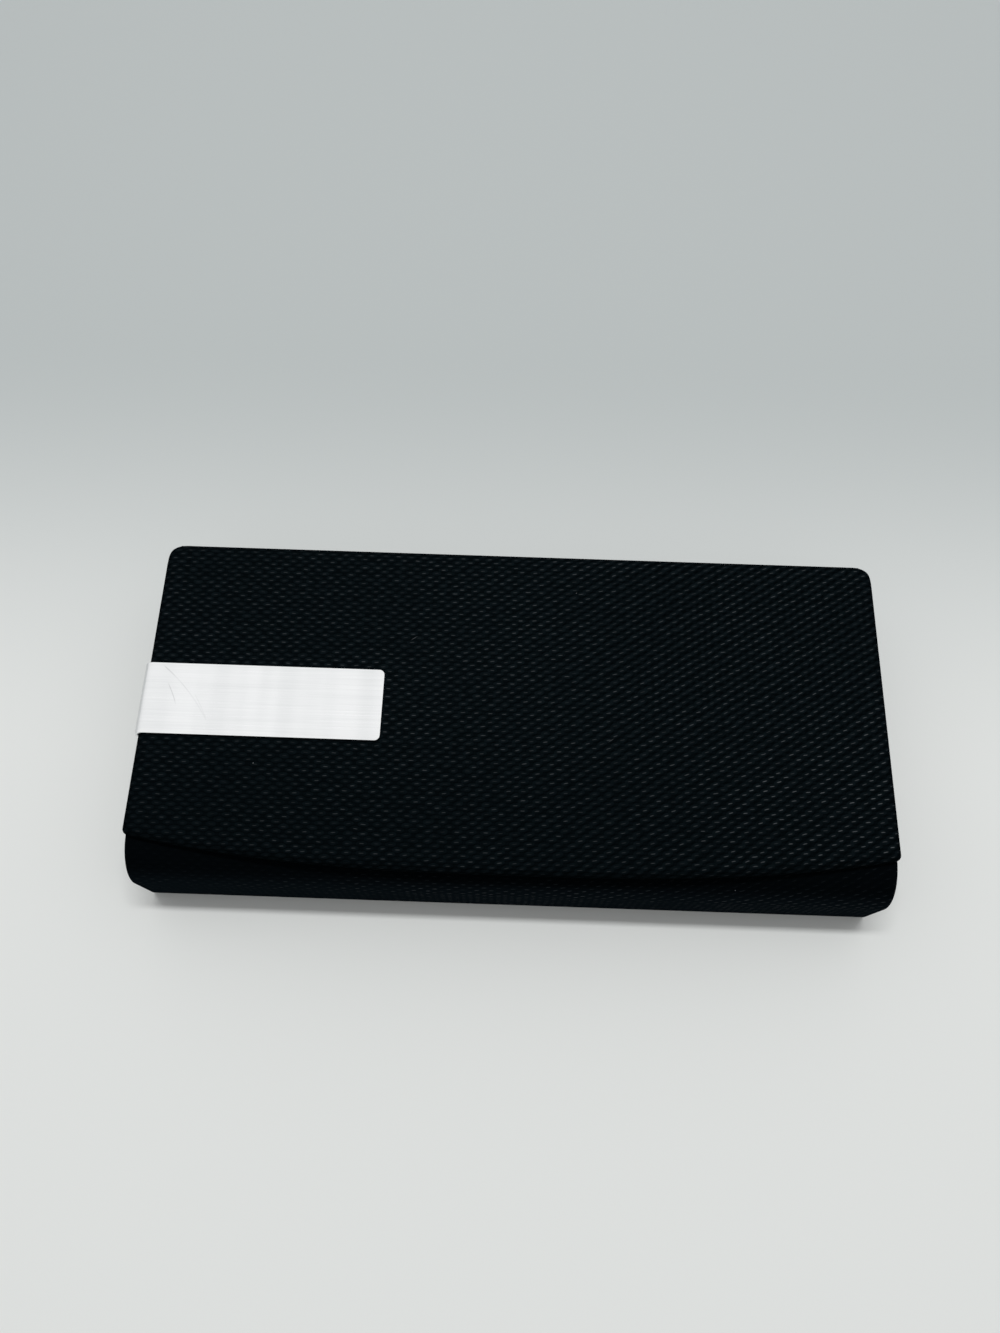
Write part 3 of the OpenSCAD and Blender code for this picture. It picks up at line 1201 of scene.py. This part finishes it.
@dataclass(frozen=True)
class BrushedPlate(Finish):
    """Bright aluminium brushed along its length, with faint marks and painted shade on its bend."""

    light: Colour = (0.965, 0.975, 0.98)
    dark: Colour = (0.82, 0.835, 0.84)
    scored: Colour = (0.58, 0.59, 0.60)
    # Painted shade: the colour that the bend turns to as it faces left
    bend_shade: Colour = (0.50, 0.51, 0.515)
    bend_shading: Ramp = (-0.95, -0.03, 0.5, 0.0)
    lines: Ramp = (0.3, 0.7, 0.0, 1.0)
    lines_show: float = 0.28
    band: Ramp = (0.3, 0.7, 0.0, 0.2)
    cloud: Axes = (150.0, 12.0, 0.0)
    clouded: Ramp = (0.35, 0.65, 0.0, 0.4)
    rough: Ramp = (0.25, 0.75, 0.26, 0.44)
    mark_rough: float = 0.12
    anisotropy: float = 0.5
    relief: float = 0.006 * MM
    fray: float = 0.7 * MM
    broken_scale: float = 170.0
    broken: Ramp = (0.4, 0.6, 0.2, 0.6)
    scratches: tuple[Scratch, ...] = (
        Scratch((-104.0, -28.55), 45.17, 0.20, (-75.7, -66.3)),
        Scratch((-100.4, -12.5), 30.0, 0.16, (-74.3, -73.0)),
        Scratch((-101.9, -21.7), 40.1, 0.14, (-68.2, -66.0)),
    )

    def apply(self, paint: Paint) -> None:
        """Build the finish.

        Args:
            paint: The material's graph.
        """
        place = paint.place()
        grain = paint.effect(Effect.BRUSHED_GRAIN, Vector=place)
        lines = paint.remap(grain["Lines"], *self.lines)
        band = paint.remap(grain["Band"], *self.band)
        tone = paint.math("MULTIPLY_ADD", lines, self.lines_show, band)
        cloud = paint.remap(paint.streaks(place, self.cloud, detail=1.0), *self.clouded)
        colour = paint.blend(paint.math("ADD", tone, cloud), self.light, self.dark)
        # Painted shade on the bend, by how far it faces left
        bend = paint.remap(paint.facing()[0], *self.bend_shading)
        colour = paint.blend(bend, colour, self.bend_shade)
        mark = self._marks(paint, place)
        rough = paint.remap(grain["Lines"], *self.rough)
        paint.finish(
            Base_Color=paint.blend(mark, colour, self.scored),
            Roughness=paint.math("MULTIPLY_ADD", mark, self.mark_rough, rough),
            Metallic=1.0,
            Anisotropic=self.anisotropy,
            Normal=paint.bump(grain["Lines"], self.relief),
        )

    def _marks(self, paint: Paint, place: NodeSocket) -> NodeSocket:
        """Faint curved scratches on the worn end.

        Args:
            paint: The material's graph.
            place: Object coordinates.

        Returns:
            A mask of the scratches.
        """
        flat = paint.vector("MULTIPLY", place, PLAN)
        along = paint.split(place)[0]
        mask: object = 0.0
        for scratch in self.scratches:
            centre = (scratch.centre[0] * MM, scratch.centre[1] * MM, 0.0)
            far = paint.measure("DISTANCE", flat, centre)
            off = paint.math("ABSOLUTE", paint.math("SUBTRACT", far, scratch.radius * MM))
            start, end = (edge * MM for edge in scratch.span)
            line = paint.times(
                paint.remap(off, 0.0, scratch.width * MM, 1.0, 0.0),
                paint.remap(along, start - self.fray, start, 0.0, 1.0),
                paint.remap(along, end, end + self.fray, 1.0, 0.0),
            )
            mask = paint.math("MAXIMUM", line, mask)
        broken = paint.remap(paint.noise(place, self.broken_scale, detail=2.0), *self.broken)
        return paint.times(mask, broken)


@dataclass(frozen=True)
class PlatedSteel(Finish):
    """Nickel-plated magnet."""

    light: Colour = (0.62, 0.62, 0.61)
    dark: Colour = (0.42, 0.42, 0.41)
    worn: Range = (2 * MM, 0.35)
    rough: float = 0.28
    clear: float = 0.6

    def apply(self, paint: Paint) -> None:
        """Build the finish.

        Args:
            paint: The material's graph.
        """
        tone = paint.roughen(paint.place(), self.worn, self.rough)
        cloud = paint.math("SUBTRACT", tone, self.clear, clamp=True)
        paint.finish(Base_Color=paint.blend(cloud, self.light, self.dark), Metallic=1.0)


@dataclass(frozen=True)
class AdhesivePad(Finish):
    """Thin white foam tape, with painted shade in its cells."""

    light: Colour = (0.70, 0.70, 0.66)
    dark: Colour = (0.52, 0.52, 0.48)
    cells: float = 6000.0
    opening: Range = (0.1, 0.6)
    worn: Range = (5 * MM, 0.1)
    rough: float = 0.6
    relief: float = 0.02 * MM

    def apply(self, paint: Paint) -> None:
        """Build the finish.

        Args:
            paint: The material's graph.
        """
        place = paint.place()
        # Painted shade: the cells darker than the tape's face
        shaded_pore = paint.remap(paint.cells(place, self.cells)["Distance"], *self.opening, 1.0, 0.0)
        paint.roughen(place, self.worn, self.rough)
        colour = paint.blend(shaded_pore, self.light, self.dark)
        paint.finish(Base_Color=colour, Normal=paint.bump(shaded_pore, self.relief))


FINISHES: dict[Look, Finish] = {
    Look.LID_WEAVE: WovenCloth(),
    # The same cloth as the lid with its colours set apart as painted light: lighter yarn and valleys
    # and painted reflection as glints on the front wall, and painted shade darkening the shoulder's
    # top
    Look.BODY_WEAVE: WovenCloth(
        valley_shade=(0.0038, 0.0065, 0.0086),
        yarn=(0.0050, 0.0083, 0.0108),
        crown=(0.072, 0.082, 0.090),
        facing=(0.15, 0.75),
        facing_glint=(0.95, 0.08),
        facing_shade=(1.0, 0.28),
        glint_level=(0.3, 0.95),
        front_glint=1.0,
        corner_glint=0.0,
        left_shade=1.0,
        front_shade=1.0,
        relief=0.06 * MM,
    ),
    Look.VELVET: NappedCloth(
        (0.006, 0.006, 0.007), (0.022, 0.022, 0.025), fibre=0.12 * MM, relief=0.10 * MM, sheen=0.35
    ),
    Look.FELT: NappedCloth(
        (0.012, 0.012, 0.013), (0.034, 0.034, 0.037), fibre=0.25 * MM, relief=0.12 * MM, sheen=0.15
    ),
    Look.LINING: NappedCloth(
        (0.010, 0.010, 0.011), (0.024, 0.024, 0.027), fibre=0.16 * MM, relief=0.06 * MM, sheen=0.2
    ),
    Look.FOAM: CellFoam(),
    Look.BOARD: PressedBoard(),
    Look.PLATE: BrushedPlate(),
    Look.MAGNET: PlatedSteel(),
    Look.PAD: AdhesivePad(),
}


# Sub-assemblies


@dataclass(frozen=True)
class BackCorners:
    """The case's two back corners, rounded in plan, and more so at the hinge roll."""

    back_y: float
    half_w: float
    hinge_z: float
    wall_round: Range = (1.7 * MM, 1.7 * MM)
    roll_round: Range = (2.6 * MM, 3.8 * MM)
    short: float = 0.2 * MM
    rise: float = 1.1 * MM
    band: float = 7.0 * MM
    cut_degrees: tuple[float, ...] = (0.0, 15.0, 30.0)

    def cut(self, piece: Object) -> None:
        """Cut a piece across where it has to bend.

        Args:
            piece: A piece with no edges there yet.
        """
        length = self.wall_round[1]
        start = self.back_y - self.short - length
        with edit_mode(piece):
            for angle in map(math.radians, self.cut_degrees):
                bpy.ops.mesh.select_all(action="SELECT")
                y = start + length * math.sin(angle)
                bpy.ops.mesh.bisect(plane_co=(0, y, 0), plane_no=(0, 1, 0))

    def draw_in(self, piece: Object) -> None:
        """Draw a finished piece in round the corners.

        Args:
            piece: A piece that runs round the back of the case.
        """
        with edit_mode(piece):
            mesh = bmesh.from_edit_mesh(piece.data)
            for vert in mesh.verts:
                vert.co.x -= math.copysign(self._inset(vert.co), vert.co.x)
            mesh.normal_update()
            bmesh.update_edit_mesh(piece.data)

    def _inset(self, spot: Vector) -> float:
        """How far a place is drawn in.

        Args:
            spot: The place before.

        Returns:
            The distance along X.
        """
        lift = min(1.0, max(0.0, (spot.z - self.hinge_z) / self.rise))
        reach, length = (
            wall + (roll - wall) * lift for wall, roll in zip(self.wall_round, self.roll_round)
        )
        ahead = min(1.0, 1 - (self.back_y - self.short - spot.y) / length)
        near = 1 - (self.half_w - abs(spot.x)) / self.band
        if ahead <= 0.0 or near <= 0.0:
            return 0.0
        return near * reach * (1 - math.sqrt(1 - ahead**2))


@dataclass
class LidCover:
    """One cloth over the lid, round the hinge roll and down the back wall."""

    palette: Palette
    corners: BackCorners
    hinge_y: float
    hinge_z: float
    thickness: float = 0.6 * MM
    edge_reach: float = 2.3 * MM
    edge_depth: float = 1.2 * MM
    hem_round: float = 0.4 * MM
    hem_degrees: tuple[float, ...] = (30.0, 60.0, 90.0)
    corner_ease: float = 0.5 * MM
    tip_round: float = 1.2 * MM
    bow_sag: float = 5.75 * MM
    bow_power: float = 2.7
    hem: float = 3.95 * MM
    hem_short: float = 0.5 * MM
    roll_tuck: float = 2.2 * MM
    wall_tuck: float = 0.62 * MM
    columns: int = 44

    def __post_init__(self) -> None:
        """Read the sizes of the lid and the hinge from the frame."""
        low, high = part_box("lid_cloth")
        self.half_w, self.front_y, self.back_y = high.x, low.y, high.y
        self.low_z, self.top_z, self.depth = low.z, high.z, high.z - low.z
        low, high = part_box("hinge_cloth")
        self.wall_half_w, self.wall_y, self.foot_z = high.x, high.y, low.z
        self.corner_x = self.half_w - self.edge_reach
        self.corner_y = self._bow_y(self.corner_x) + self.edge_reach
        self.path, self.lid_start = self._profile()

    def build(self) -> None:
        """Make the cloth."""
        sheet = sheet_on("lid_cover", self.path, self.columns, self._place)
        self._round_corners(sheet)
        foot = self.foot_z + SAME_PLACE
        fold_border(
            sheet,
            lambda e: any(v.co.z > foot for v in e.verts),
            self._rows(),
            self._reach,
            self._to_tip,
        )
        self._turn_hem(sheet)
        thicken(sheet, self.thickness)
        self.corners.draw_in(sheet)
        dress(sheet, self.palette[Look.LID_WEAVE], "outer_cloth", "lid_cloth", "hinge_cloth")
        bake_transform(sheet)

    def _bow_y(self, x: float) -> float:
        """Y of the lid's front edge at a place along X."""
        return self.front_y + self.bow_sag * (abs(x) / self.half_w) ** self.bow_power

    def _profile(self) -> tuple[Path, float]:
        """Go up the back wall, round the hinge and forward over the lid.

        Returns:
            The side profile, and how far along it the lid starts.
        """
        path = Path(self.wall_y, self.foot_z, QUARTER_DEGREES)
        path.run(self.hinge_z - self.foot_z, steps=4)
        path.turn(self.wall_y - self.hinge_y, steps=10)
        path.run(self.hinge_y - self.back_y, steps=4)
        lid_start = path.walked
        path.run(self.back_y - self.front_y, steps=18)
        return path, lid_start

    def _place(self, share: float, station: Station) -> Vector:
        """A point of the cloth before its edges are folded.

        Args:
            share: Place across, from -1 to 1.
            station: Place along the side profile.

        Returns:
            The point.
        """
        past = max(0.0, station.walked - self.lid_start)
        span = self.hinge_y - self.back_y
        on_lid = min(1.0, max(0.0, (self.hinge_y - station.y) / span))
        half = self.wall_half_w + (self.half_w - self.wall_half_w) * on_lid
        x = share * (half - self.edge_reach)
        if past == 0.0:
            return Vector((x, station.y, station.z))
        front = self._bow_y(x) + self.edge_reach
        forward = past / (self.back_y - self.front_y)
        return Vector((x, self.back_y + (front - self.back_y) * forward, self.top_z))

    def _reach(self, spot: Vector) -> float:
        """How far the border goes under at a place.

        Args:
            spot: The place on the border.

        Returns:
            The depth on the wall, the roll or the lid.
        """
        if spot.z < self.hinge_z:
            return self.wall_tuck
        return self.roll_tuck if spot.y > self.hinge_y else self.depth

    def _rows(self) -> list[FoldRow]:
        """Rounded over the edge, down it, and rounded under it.

        Returns:
            The rows of the folded border.
        """
        rows = round_over(self.edge_reach, self.edge_depth, steps=7)
        straight = self.depth - self.edge_depth - self.hem_round
        walked = rows[-1].walked + straight
        rows.append(FoldRow(self.edge_reach, self.depth - self.hem_round, walked))
        for angle in map(math.radians, self.hem_degrees):
            out = self.edge_reach - self.hem_round * (1 - math.cos(angle))
            under = self.depth - self.hem_round * (1 - math.sin(angle))
            rows.append(FoldRow(out, under, walked + self.hem_round * angle))
        return rows

    def _from_corner(self, spot: Vector) -> float:
        """How far a place on the border is from the nearer front corner."""
        return max(abs(abs(spot.x) - self.corner_x), abs(spot.y - self.corner_y))

    def _round_corners(self, sheet: Object) -> None:
        """Round the lid's two front corners in plan.

        Args:
            sheet: The flat cloth.
        """
        with edit_mode(sheet):
            choose(sheet, MeshPart.VERTS, lambda v: self._from_corner(v.co) < SAME_PLACE)
            bpy.ops.mesh.bevel(offset=self.corner_ease, segments=6, affect="VERTICES", profile=0.5)
            mesh = bmesh.from_edit_mesh(sheet.data)
            flat = mesh.verts.layers.float_vector[FLAT]
            for vert in mesh.verts:
                if vert.co.y < self.back_y:
                    walked = self.lid_start + self.back_y - vert.co.y
                    vert[flat] = Vector((vert.co.x, walked, 0))
            bmesh.update_edit_mesh(sheet.data)

    def _to_tip(self, spot: Vector, out: Vector) -> Vector:
        """The way out near a front corner, drawn out so that the tip is sharper.

        Args:
            spot: A place on the cloth's border before it is folded.
            out: The plain way out there.

        Returns:
            The way out.
        """
        if self._from_corner(spot) > 2 * self.corner_ease:
            return out
        sag = self.corner_y - self.edge_reach - self.front_y
        slope = sag * self.bow_power / self.corner_x
        side = Vector((math.copysign(1.0, spot.x), 0.0, 0.0))
        front = Vector((side.x * slope, -1.0, 0.0)).normalized()
        mitre = (side + front) / (1 + side.dot(front))
        drawn = self.corner_ease + self.edge_reach - self.tip_round
        return (mitre * drawn + out * (self.tip_round - self.corner_ease)) / self.edge_reach

    def _turn_hem(self, sheet: Object) -> None:
        """Turn the border in under the lid, round the lining, as far as the hinge.

        Args:
            sheet: The cloth with its border folded down.
        """
        inner = self.half_w - self.hem
        last_y = self.hinge_y - self.hem_short

        def under_lid(edge: BMEdge) -> bool:
            """Whether an edge is on the lowest row of the lid's border."""
            return edge.is_boundary and all(
                abs(v.co.z - self.low_z) < SAME_PLACE and v.co.y < last_y for v in edge.verts
            )

        with edit_mode(sheet):
            choose(sheet, MeshPart.EDGES, under_lid)
            bpy.ops.mesh.extrude_edges_move()
            mesh = bmesh.from_edit_mesh(sheet.data)
            flat = mesh.verts.layers.float_vector[FLAT]
            for vert in [v for v in mesh.verts if v.select]:
                before = vert.co.copy()
                vert.co.x = max(-inner, min(inner, vert.co.x))
                vert.co.y = max(vert.co.y, self._bow_y(vert.co.x) + self.hem)
                moved = vert.co - before
                vert[flat] = vert[flat] + Vector((-moved.x, moved.y, 0))
            bmesh.update_edit_mesh(sheet.data)
            bpy.ops.mesh.select_all(action="SELECT")
            bpy.ops.mesh.remove_doubles(threshold=HEM_WELD)


@dataclass
class BodyCover:
    """The cloth under the floor, up the front, over the shoulder and round the rim."""

    palette: Palette
    corners: BackCorners
    thickness: float = 0.6 * MM
    shoulder: float = 9.5 * MM
    edge: float = 1.5 * MM
    rim_round: float = 0.8 * MM
    rim_depth: float = 2.9 * MM
    turn_in: float = 5.0 * MM
    end_round: float = 0.5 * MM
    end_tuck: float = 0.62 * MM
    columns: int = 40

    def __post_init__(self) -> None:
        """Read the sizes of the body from the frame."""
        low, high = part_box("front_cloth")
        self.half_w, self.front_y = high.x, low.y
        self.rim_y, self.rim_z = high.y, high.z
        self.back_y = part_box("base_cloth")[1].y

    def build(self) -> None:
        """Make the cloth."""
        inner = self.half_w - self.end_round
        path = self._path()
        sheet = sheet_on(
            "body_cover", path, self.columns, lambda share, at: Vector((share * inner, at.y, at.z))
        )
        rows = round_over(self.end_round, self.end_round, steps=3)
        rows.append(FoldRow(self.end_round, self.end_tuck, self.edge))
        side = inner - SAME_PLACE
        fold_border(
            sheet,
            lambda e: all(abs(v.co.x) > side for v in e.verts),
            rows,
            lambda spot: self.end_tuck,
        )
        thicken(sheet, self.thickness)
        self.corners.draw_in(sheet)
        finish = self.palette[Look.BODY_WEAVE]
        dress(sheet, finish, "outer_cloth", "base_cloth", "front_cloth", body=Body.CASE)

    def _path(self) -> Path:
        """From under the rim, round it, down the front and along the floor.

        Returns:
            The side profile.
        """
        path = Path(self.rim_y - self.turn_in, self.rim_z - self.rim_depth, 0.0)
        path.run(self.turn_in - self.rim_round, steps=2)
        path.turn(self.rim_round, steps=5)
        path.run(self.rim_depth - 2 * self.rim_round)
        path.turn(self.rim_round, steps=5)
        path.run(self.rim_y - self.front_y - self.rim_round - self.shoulder, steps=3)
        path.turn(self.shoulder, steps=16)
        path.run(self.rim_z - self.shoulder - self.edge, steps=4)
        path.turn(self.edge, steps=6)
        path.run(self.back_y - self.front_y - 2 * self.edge, steps=4)
        path.turn(self.edge, steps=6)
        return path


@dataclass
class EndCovers:
    """The cloth on the two ends, turned in over the end boards."""

    palette: Palette
    nodes: dict[str, Object]
    corners: BackCorners
    edge_round: float = 0.22 * MM
    thickness: float = 0.6 * MM
    turn_in: float = 5 * MM

    def build(self) -> None:
        """Make both end cloths."""
        for side in ("left", "right"):
            node = f"{side}_end_cloth"
            piece = softened(self.nodes[node], f"{side}_end_cover", self.edge_round)
            self.corners.cut(piece)
            self.corners.draw_in(piece)
            box_map(piece)
            dress(piece, self.palette[Look.BODY_WEAVE], "outer_cloth", node, body=Body.CASE)


@dataclass
class HingeTape:
    """The tape inside the hinge, from the back board to the lid's board."""

    palette: Palette
    thickness: float = 0.35 * MM
    bend: float = 0.5 * MM
    spare: float = 0.9 * MM
    end_gap: float = 0.05 * MM
    flex: float = 2.6 * MM
    columns: int = 20

    def build(self) -> None:
        """Make the tape."""
        low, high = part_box("hinge_tape")
        half = high.x + self.spare
        wall_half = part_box("right_end_cloth")[0].x - self.end_gap
        path = Path(high.y, low.z, QUARTER_DEGREES)
        path.run(high.z - low.z - self.bend, steps=6)
        path.turn(self.bend, steps=6)
        path.run(high.y - low.y - self.bend, steps=16)

        def place(share: float, at: Station) -> Vector:
            """A point of the tape, which is wider on the wall than on the lid."""
            on_lid = min(1.0, (high.y - at.y) / self.bend)
            return Vector((share * (wall_half + (half - wall_half) * on_lid), at.y, at.z))

        tape = sheet_on("hinge_tape_strip", path, self.columns, place)
        thicken(tape, self.thickness)
        dress(tape, self.palette[Look.LINING], "lining", "hinge_tape")
        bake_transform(tape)


@dataclass(frozen=True)
class Layer:
    """A soft layer: node, name, finish, slot, radius of its edges, and what a cloth lies on."""

    node: str
    name: str
    look: Look
    slot: str
    edge_round: float
    lies_on: str = ""


@dataclass
class SoftLayers:
    """Layers on one body that keep their node's outline: foams, and cloths that lie flat."""

    palette: Palette
    nodes: dict[str, Object]
    body: Body = Body.CASE
    shows_up: bool = True
    sunk: float = 0.0
    fill: float = 1.0
    layers: tuple[Layer, ...] = ()

    def build(self) -> None:
        pieces = [self._make(layer) for layer in self.layers]
        for piece, layer in zip(pieces, self.layers):
            if layer.lies_on:
                self._lay(piece, layer)

    def _make(self, layer: Layer) -> Object:
        """Make one layer.

        Args:
            layer: What it is.

        Returns:
            The piece.
        """
        piece = softened(self.nodes[layer.node], layer.name, layer.edge_round)
        if self.sunk:
            lower(piece, self.sunk)
        dress(piece, self.palette[layer.look], layer.slot, layer.node, body=self.body)
        return piece

    def _lay(self, piece: Object, layer: Layer) -> None:
        """Read the box of a flat cloth's node; nothing is done with it.

        Args:
            piece: Not used.
            layer: What it is.
        """
        low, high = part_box(layer.node)


@dataclass
class Insert(SoftLayers):
    """The tray for the aids: a foam base, felt, a foam block with wells, and a velvet face."""

    layers: tuple[Layer, ...] = (
        Layer("insert_base", "insert_base_foam", Look.FOAM, "foam", 0.4 * MM),
        Layer("well_felt", "well_floor_felt", Look.FELT, "lining", 0.1 * MM, "insert_base"),
        Layer("insert_foam", "well_foam", Look.FOAM, "foam", 0.12 * MM),
        Layer("insert_velvet", "velvet_face", Look.VELVET, "velvet", 0.45 * MM, "insert_foam"),
    )


@dataclass
class LidLining(SoftLayers):
    """The lining under the lid's board, a little proud of the hem around it."""

    body: Body = Body.LID
    shows_up: bool = False
    sunk: float = 0.08 * MM
    layers: tuple[Layer, ...] = (
        Layer("lid_lining", "lid_lining_panel", Look.LINING, "lining", 0.18 * MM, "lid_board"),
    )


@dataclass
class MetalPlate:
    """The bent metal plate on the lid's left, left bare."""

    palette: Palette
    thickness: float = 0.6 * MM
    bend: float = 2.2 * MM
    corner: float = 1.2 * MM
    edge_round: float = 0.12 * MM
    bend_steps: int = 8
    corner_steps: int = 8

    def build(self) -> None:
        """Make the plate: flat, bent down at its left end, edges eased."""
        low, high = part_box("badge_plate")
        middle_y, width = (low.y + high.y) / 2, high.y - low.y
        bend_x, bend_z = low.x + self.bend, high.z - self.bend
        plate = started("metal_plate", bpy.ops.mesh.primitive_plane_add, size=1)
        with edit_mode(plate):
            bpy.ops.mesh.select_all(action="SELECT")
            bpy.ops.transform.resize(value=(high.x - bend_x, width, 1))
            bpy.ops.transform.translate(value=((high.x + bend_x) / 2, middle_y, high.z))
            choose(plate, MeshPart.VERTS, lambda v: v.co.x > high.x - SAME_PLACE)
            bpy.ops.mesh.bevel(
                offset=self.corner, segments=self.corner_steps, affect="VERTICES", profile=0.5
            )
            left = bend_x + SAME_PLACE
            choose(plate, MeshPart.EDGES, lambda e: all(v.co.x < left for v in e.verts))
            bpy.ops.mesh.spin(
                steps=self.bend_steps,
                angle=math.radians(QUARTER_DEGREES),
                center=(bend_x, middle_y, bend_z),
                axis=(0, 1, 0),
            )
            foot = bend_z + SAME_PLACE
            choose(plate, MeshPart.EDGES, lambda e: all(v.co.z < foot for v in e.verts))
            drop = (0, 0, low.z - bend_z)
            bpy.ops.mesh.extrude_edges_move(TRANSFORM_OT_translate={"value": drop})
            bpy.ops.mesh.select_all(action="SELECT")
            bpy.ops.mesh.remove_doubles(threshold=WELD)
            self._face_outwards(plate)
        apply_modifier(plate, "SOLIDIFY", thickness=self.thickness, offset=-1.0)
        ease_edges(plate, self.edge_round, segments=2, sharp=METAL_SHARP)
        dress(plate, self.palette[Look.PLATE], "plate", "badge_plate", body=Body.LID)

    @staticmethod
    def _face_outwards(plate: Object) -> None:
        """Turn the plate's faces to the same side, upwards on its top.

        Args:
            plate: The plate in edit mode, all selected.
        """
        bpy.ops.mesh.normals_make_consistent(inside=False)
        mesh = bmesh.from_edit_mesh(plate.data)
        mesh.normal_update()
        if max(mesh.faces, key=lambda face: face.calc_area()).normal.z < 0:
            bpy.ops.mesh.flip_normals()


@dataclass
class HardParts:
    """The boards, magnets and pad, which keep their CAD shape."""

    palette: Palette
    nodes: dict[str, Object]
    boards: tuple[str, ...] = (
        "floor_board",
        "back_board",
        "front_shell",
        "left_end_board",
        "right_end_board",
        "lid_board",
    )
    magnets: tuple[str, ...] = ("rim_magnets", "lid_magnets")
    pads: tuple[str, ...] = ("badge_pad",)

    def build(self) -> None:
        """Give each carried-over node its finish."""
        looks = {Look.BOARD: self.boards, Look.MAGNET: self.magnets, Look.PAD: self.pads}
        for look, names in looks.items():
            for name in names:
                self.nodes[name].data.materials.clear()
                self.nodes[name].data.materials.append(self.palette[look])
                LOG.info("dressed %s", name)


@dataclass
class Studio:
    """A pale floor with painted shade towards the back, soft light from above and behind, and the
    camera.
    """

    effects: Effects
    eye: Axes = (-2.2 * MM, -69.65 * MM, 230.7 * MM)
    forward: Axes = (-0.0060, 0.3619, -0.9322)
    right: Axes = (0.9994, 0.0334, 0.0065)
    lens: float = 27.2
    nearest: float = 0.01
    floor_size: float = 6.0
    floor_gap: float = 0.05 * MM
    floor_near: Colour = (0.778, 0.797, 0.784)
    # Painted shade: the floor's colour at the back
    floor_shaded: Colour = (0.49, 0.525, 0.525)
    floor_fade: Range = (-12 * MM, 115 * MM)
    floor_rough: float = 0.6
    floor_specular: float = 0.2
    backdrop: float = 0.945
    horizon: float = 0.17
    zenith: float = 0.70
    lean: float = math.radians(22)
    key_spot: Axes = (0.0, 0.178, 1.05)
    key_size: Range = (0.6, 0.09)
    key_watts: float = 5.5

    def build(self) -> None:
        """Set the floor, lights, world and camera."""
        scene = bpy.context.scene
        scene.view_settings.view_transform = "Standard"
        self._floor()
        self._world(scene)
        self._key(scene)
        self._camera(scene)
        LOG.info("set the studio")

    def _floor(self) -> None:
        """Lay the floor, with painted shade darkening it towards the back."""
        floor = started("floor", bpy.ops.mesh.primitive_plane_add, size=self.floor_size)
        lower(floor, self.floor_gap)
        paint = Paint("pale_floor", self.effects)
        # Painted shade: the floor darkens towards the back
        back = paint.remap(paint.split(paint.place())[1], *self.floor_fade, 0.0, 1.0)
        paint.finish(
            Base_Color=paint.blend(back, self.floor_near, self.floor_shaded),
            Roughness=self.floor_rough,
            Specular_IOR_Level=self.floor_specular,
        )
        floor.data.materials.append(paint.material)
        floor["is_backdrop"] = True

    def _world(self, scene: Scene) -> None:
        """A dome of light, brightest overhead and a little behind, and a pale backdrop.

        Args:
            scene: The scene that gets the world.
        """
        world = bpy.data.worlds.new("studio")
        scene.world = world
        world.use_nodes = True
        graph = Graph(world.node_tree)
        up = (0.0, math.sin(self.lean), math.cos(self.lean))
        facing = graph.measure("DOT_PRODUCT", graph.add("TexCoord").outputs["Generated"], up)
        rise = graph.math("MAXIMUM", facing, 0.0)
        dome = graph.math("MULTIPLY_ADD", rise, self.zenith - self.horizon, self.horizon)
        rays = graph.add("LightPath").outputs
        seen = graph.math("ADD", rays["Is Camera Ray"], rays["Is Glossy Ray"])
        seen = graph.math("ADD", seen, rays["Is Transmission Ray"], clamp=True)
        plain = graph.times(seen, self.backdrop)
        unseen = graph.times(graph.math("SUBTRACT", 1.0, seen), dome)
        strength = graph.math("ADD", plain, unseen)
        graph.fill(world.node_tree.nodes["Background"], Strength=strength, Color=WHITE)

    def _key(self, scene: Scene) -> None:
        """Hang a long soft box that looks at the case and stays out of its gloss.

        Args:
            scene: The scene that gets the lamp.
        """
        data = bpy.data.lights.new("key", "AREA")
        data.shape = "RECTANGLE"
        data.size, data.size_y = self.key_size
        data.energy = self.key_watts
        lamp = bpy.data.objects.new("key", data)
        lamp.location = self.key_spot
        lamp.rotation_mode = "QUATERNION"
        lamp.rotation_quaternion = (-Vector(self.key_spot)).to_track_quat("-Z", "Y")
        lamp.visible_glossy = False
        scene.collection.objects.link(lamp)

    def _camera(self, scene: Scene) -> None:
        """Stand the camera where the photograph was taken from.

        Args:
            scene: The scene that gets the camera.
        """
        ahead = Vector(self.forward).normalized()
        right = Vector(self.right)
        right = (right - ahead * right.dot(ahead)).normalized()
        turn = Matrix((right, right.cross(ahead), -ahead)).transposed()
        data = bpy.data.cameras.new("camera")
        data.lens = self.lens
        data.clip_start = self.nearest
        camera = bpy.data.objects.new("camera", data)
        camera.rotation_mode = "QUATERNION"
        camera.rotation_quaternion = turn.to_quaternion()
        camera.location = self.eye
        scene.collection.objects.link(camera)
        scene.camera = camera


def main() -> None:
    """Build the case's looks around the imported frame."""
    logging.basicConfig(level=logging.INFO, format="%(name)s: %(message)s")
    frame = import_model()
    cad_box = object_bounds()
    nodes = frame["nodes"]
    _, hinge_y, hinge_z = frame["joints"][0]["pos_m"]
    effects = Effects()
    palette = {look: finish.material(look, effects) for look, finish in FINISHES.items()}
    Studio(effects).build()
    corners = BackCorners(cad_box[1].y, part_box("lid_cloth")[1].x, hinge_z)
    LidCover(palette, corners, hinge_y, hinge_z).build()
    BodyCover(palette, corners).build()
    EndCovers(palette, nodes, corners).build()
    HingeTape(palette).build()
    Insert(palette, nodes).build()
    LidLining(palette, nodes).build()
    MetalPlate(palette).build()
    HardParts(palette, nodes).build()


if __name__ == "__main__":
    main()
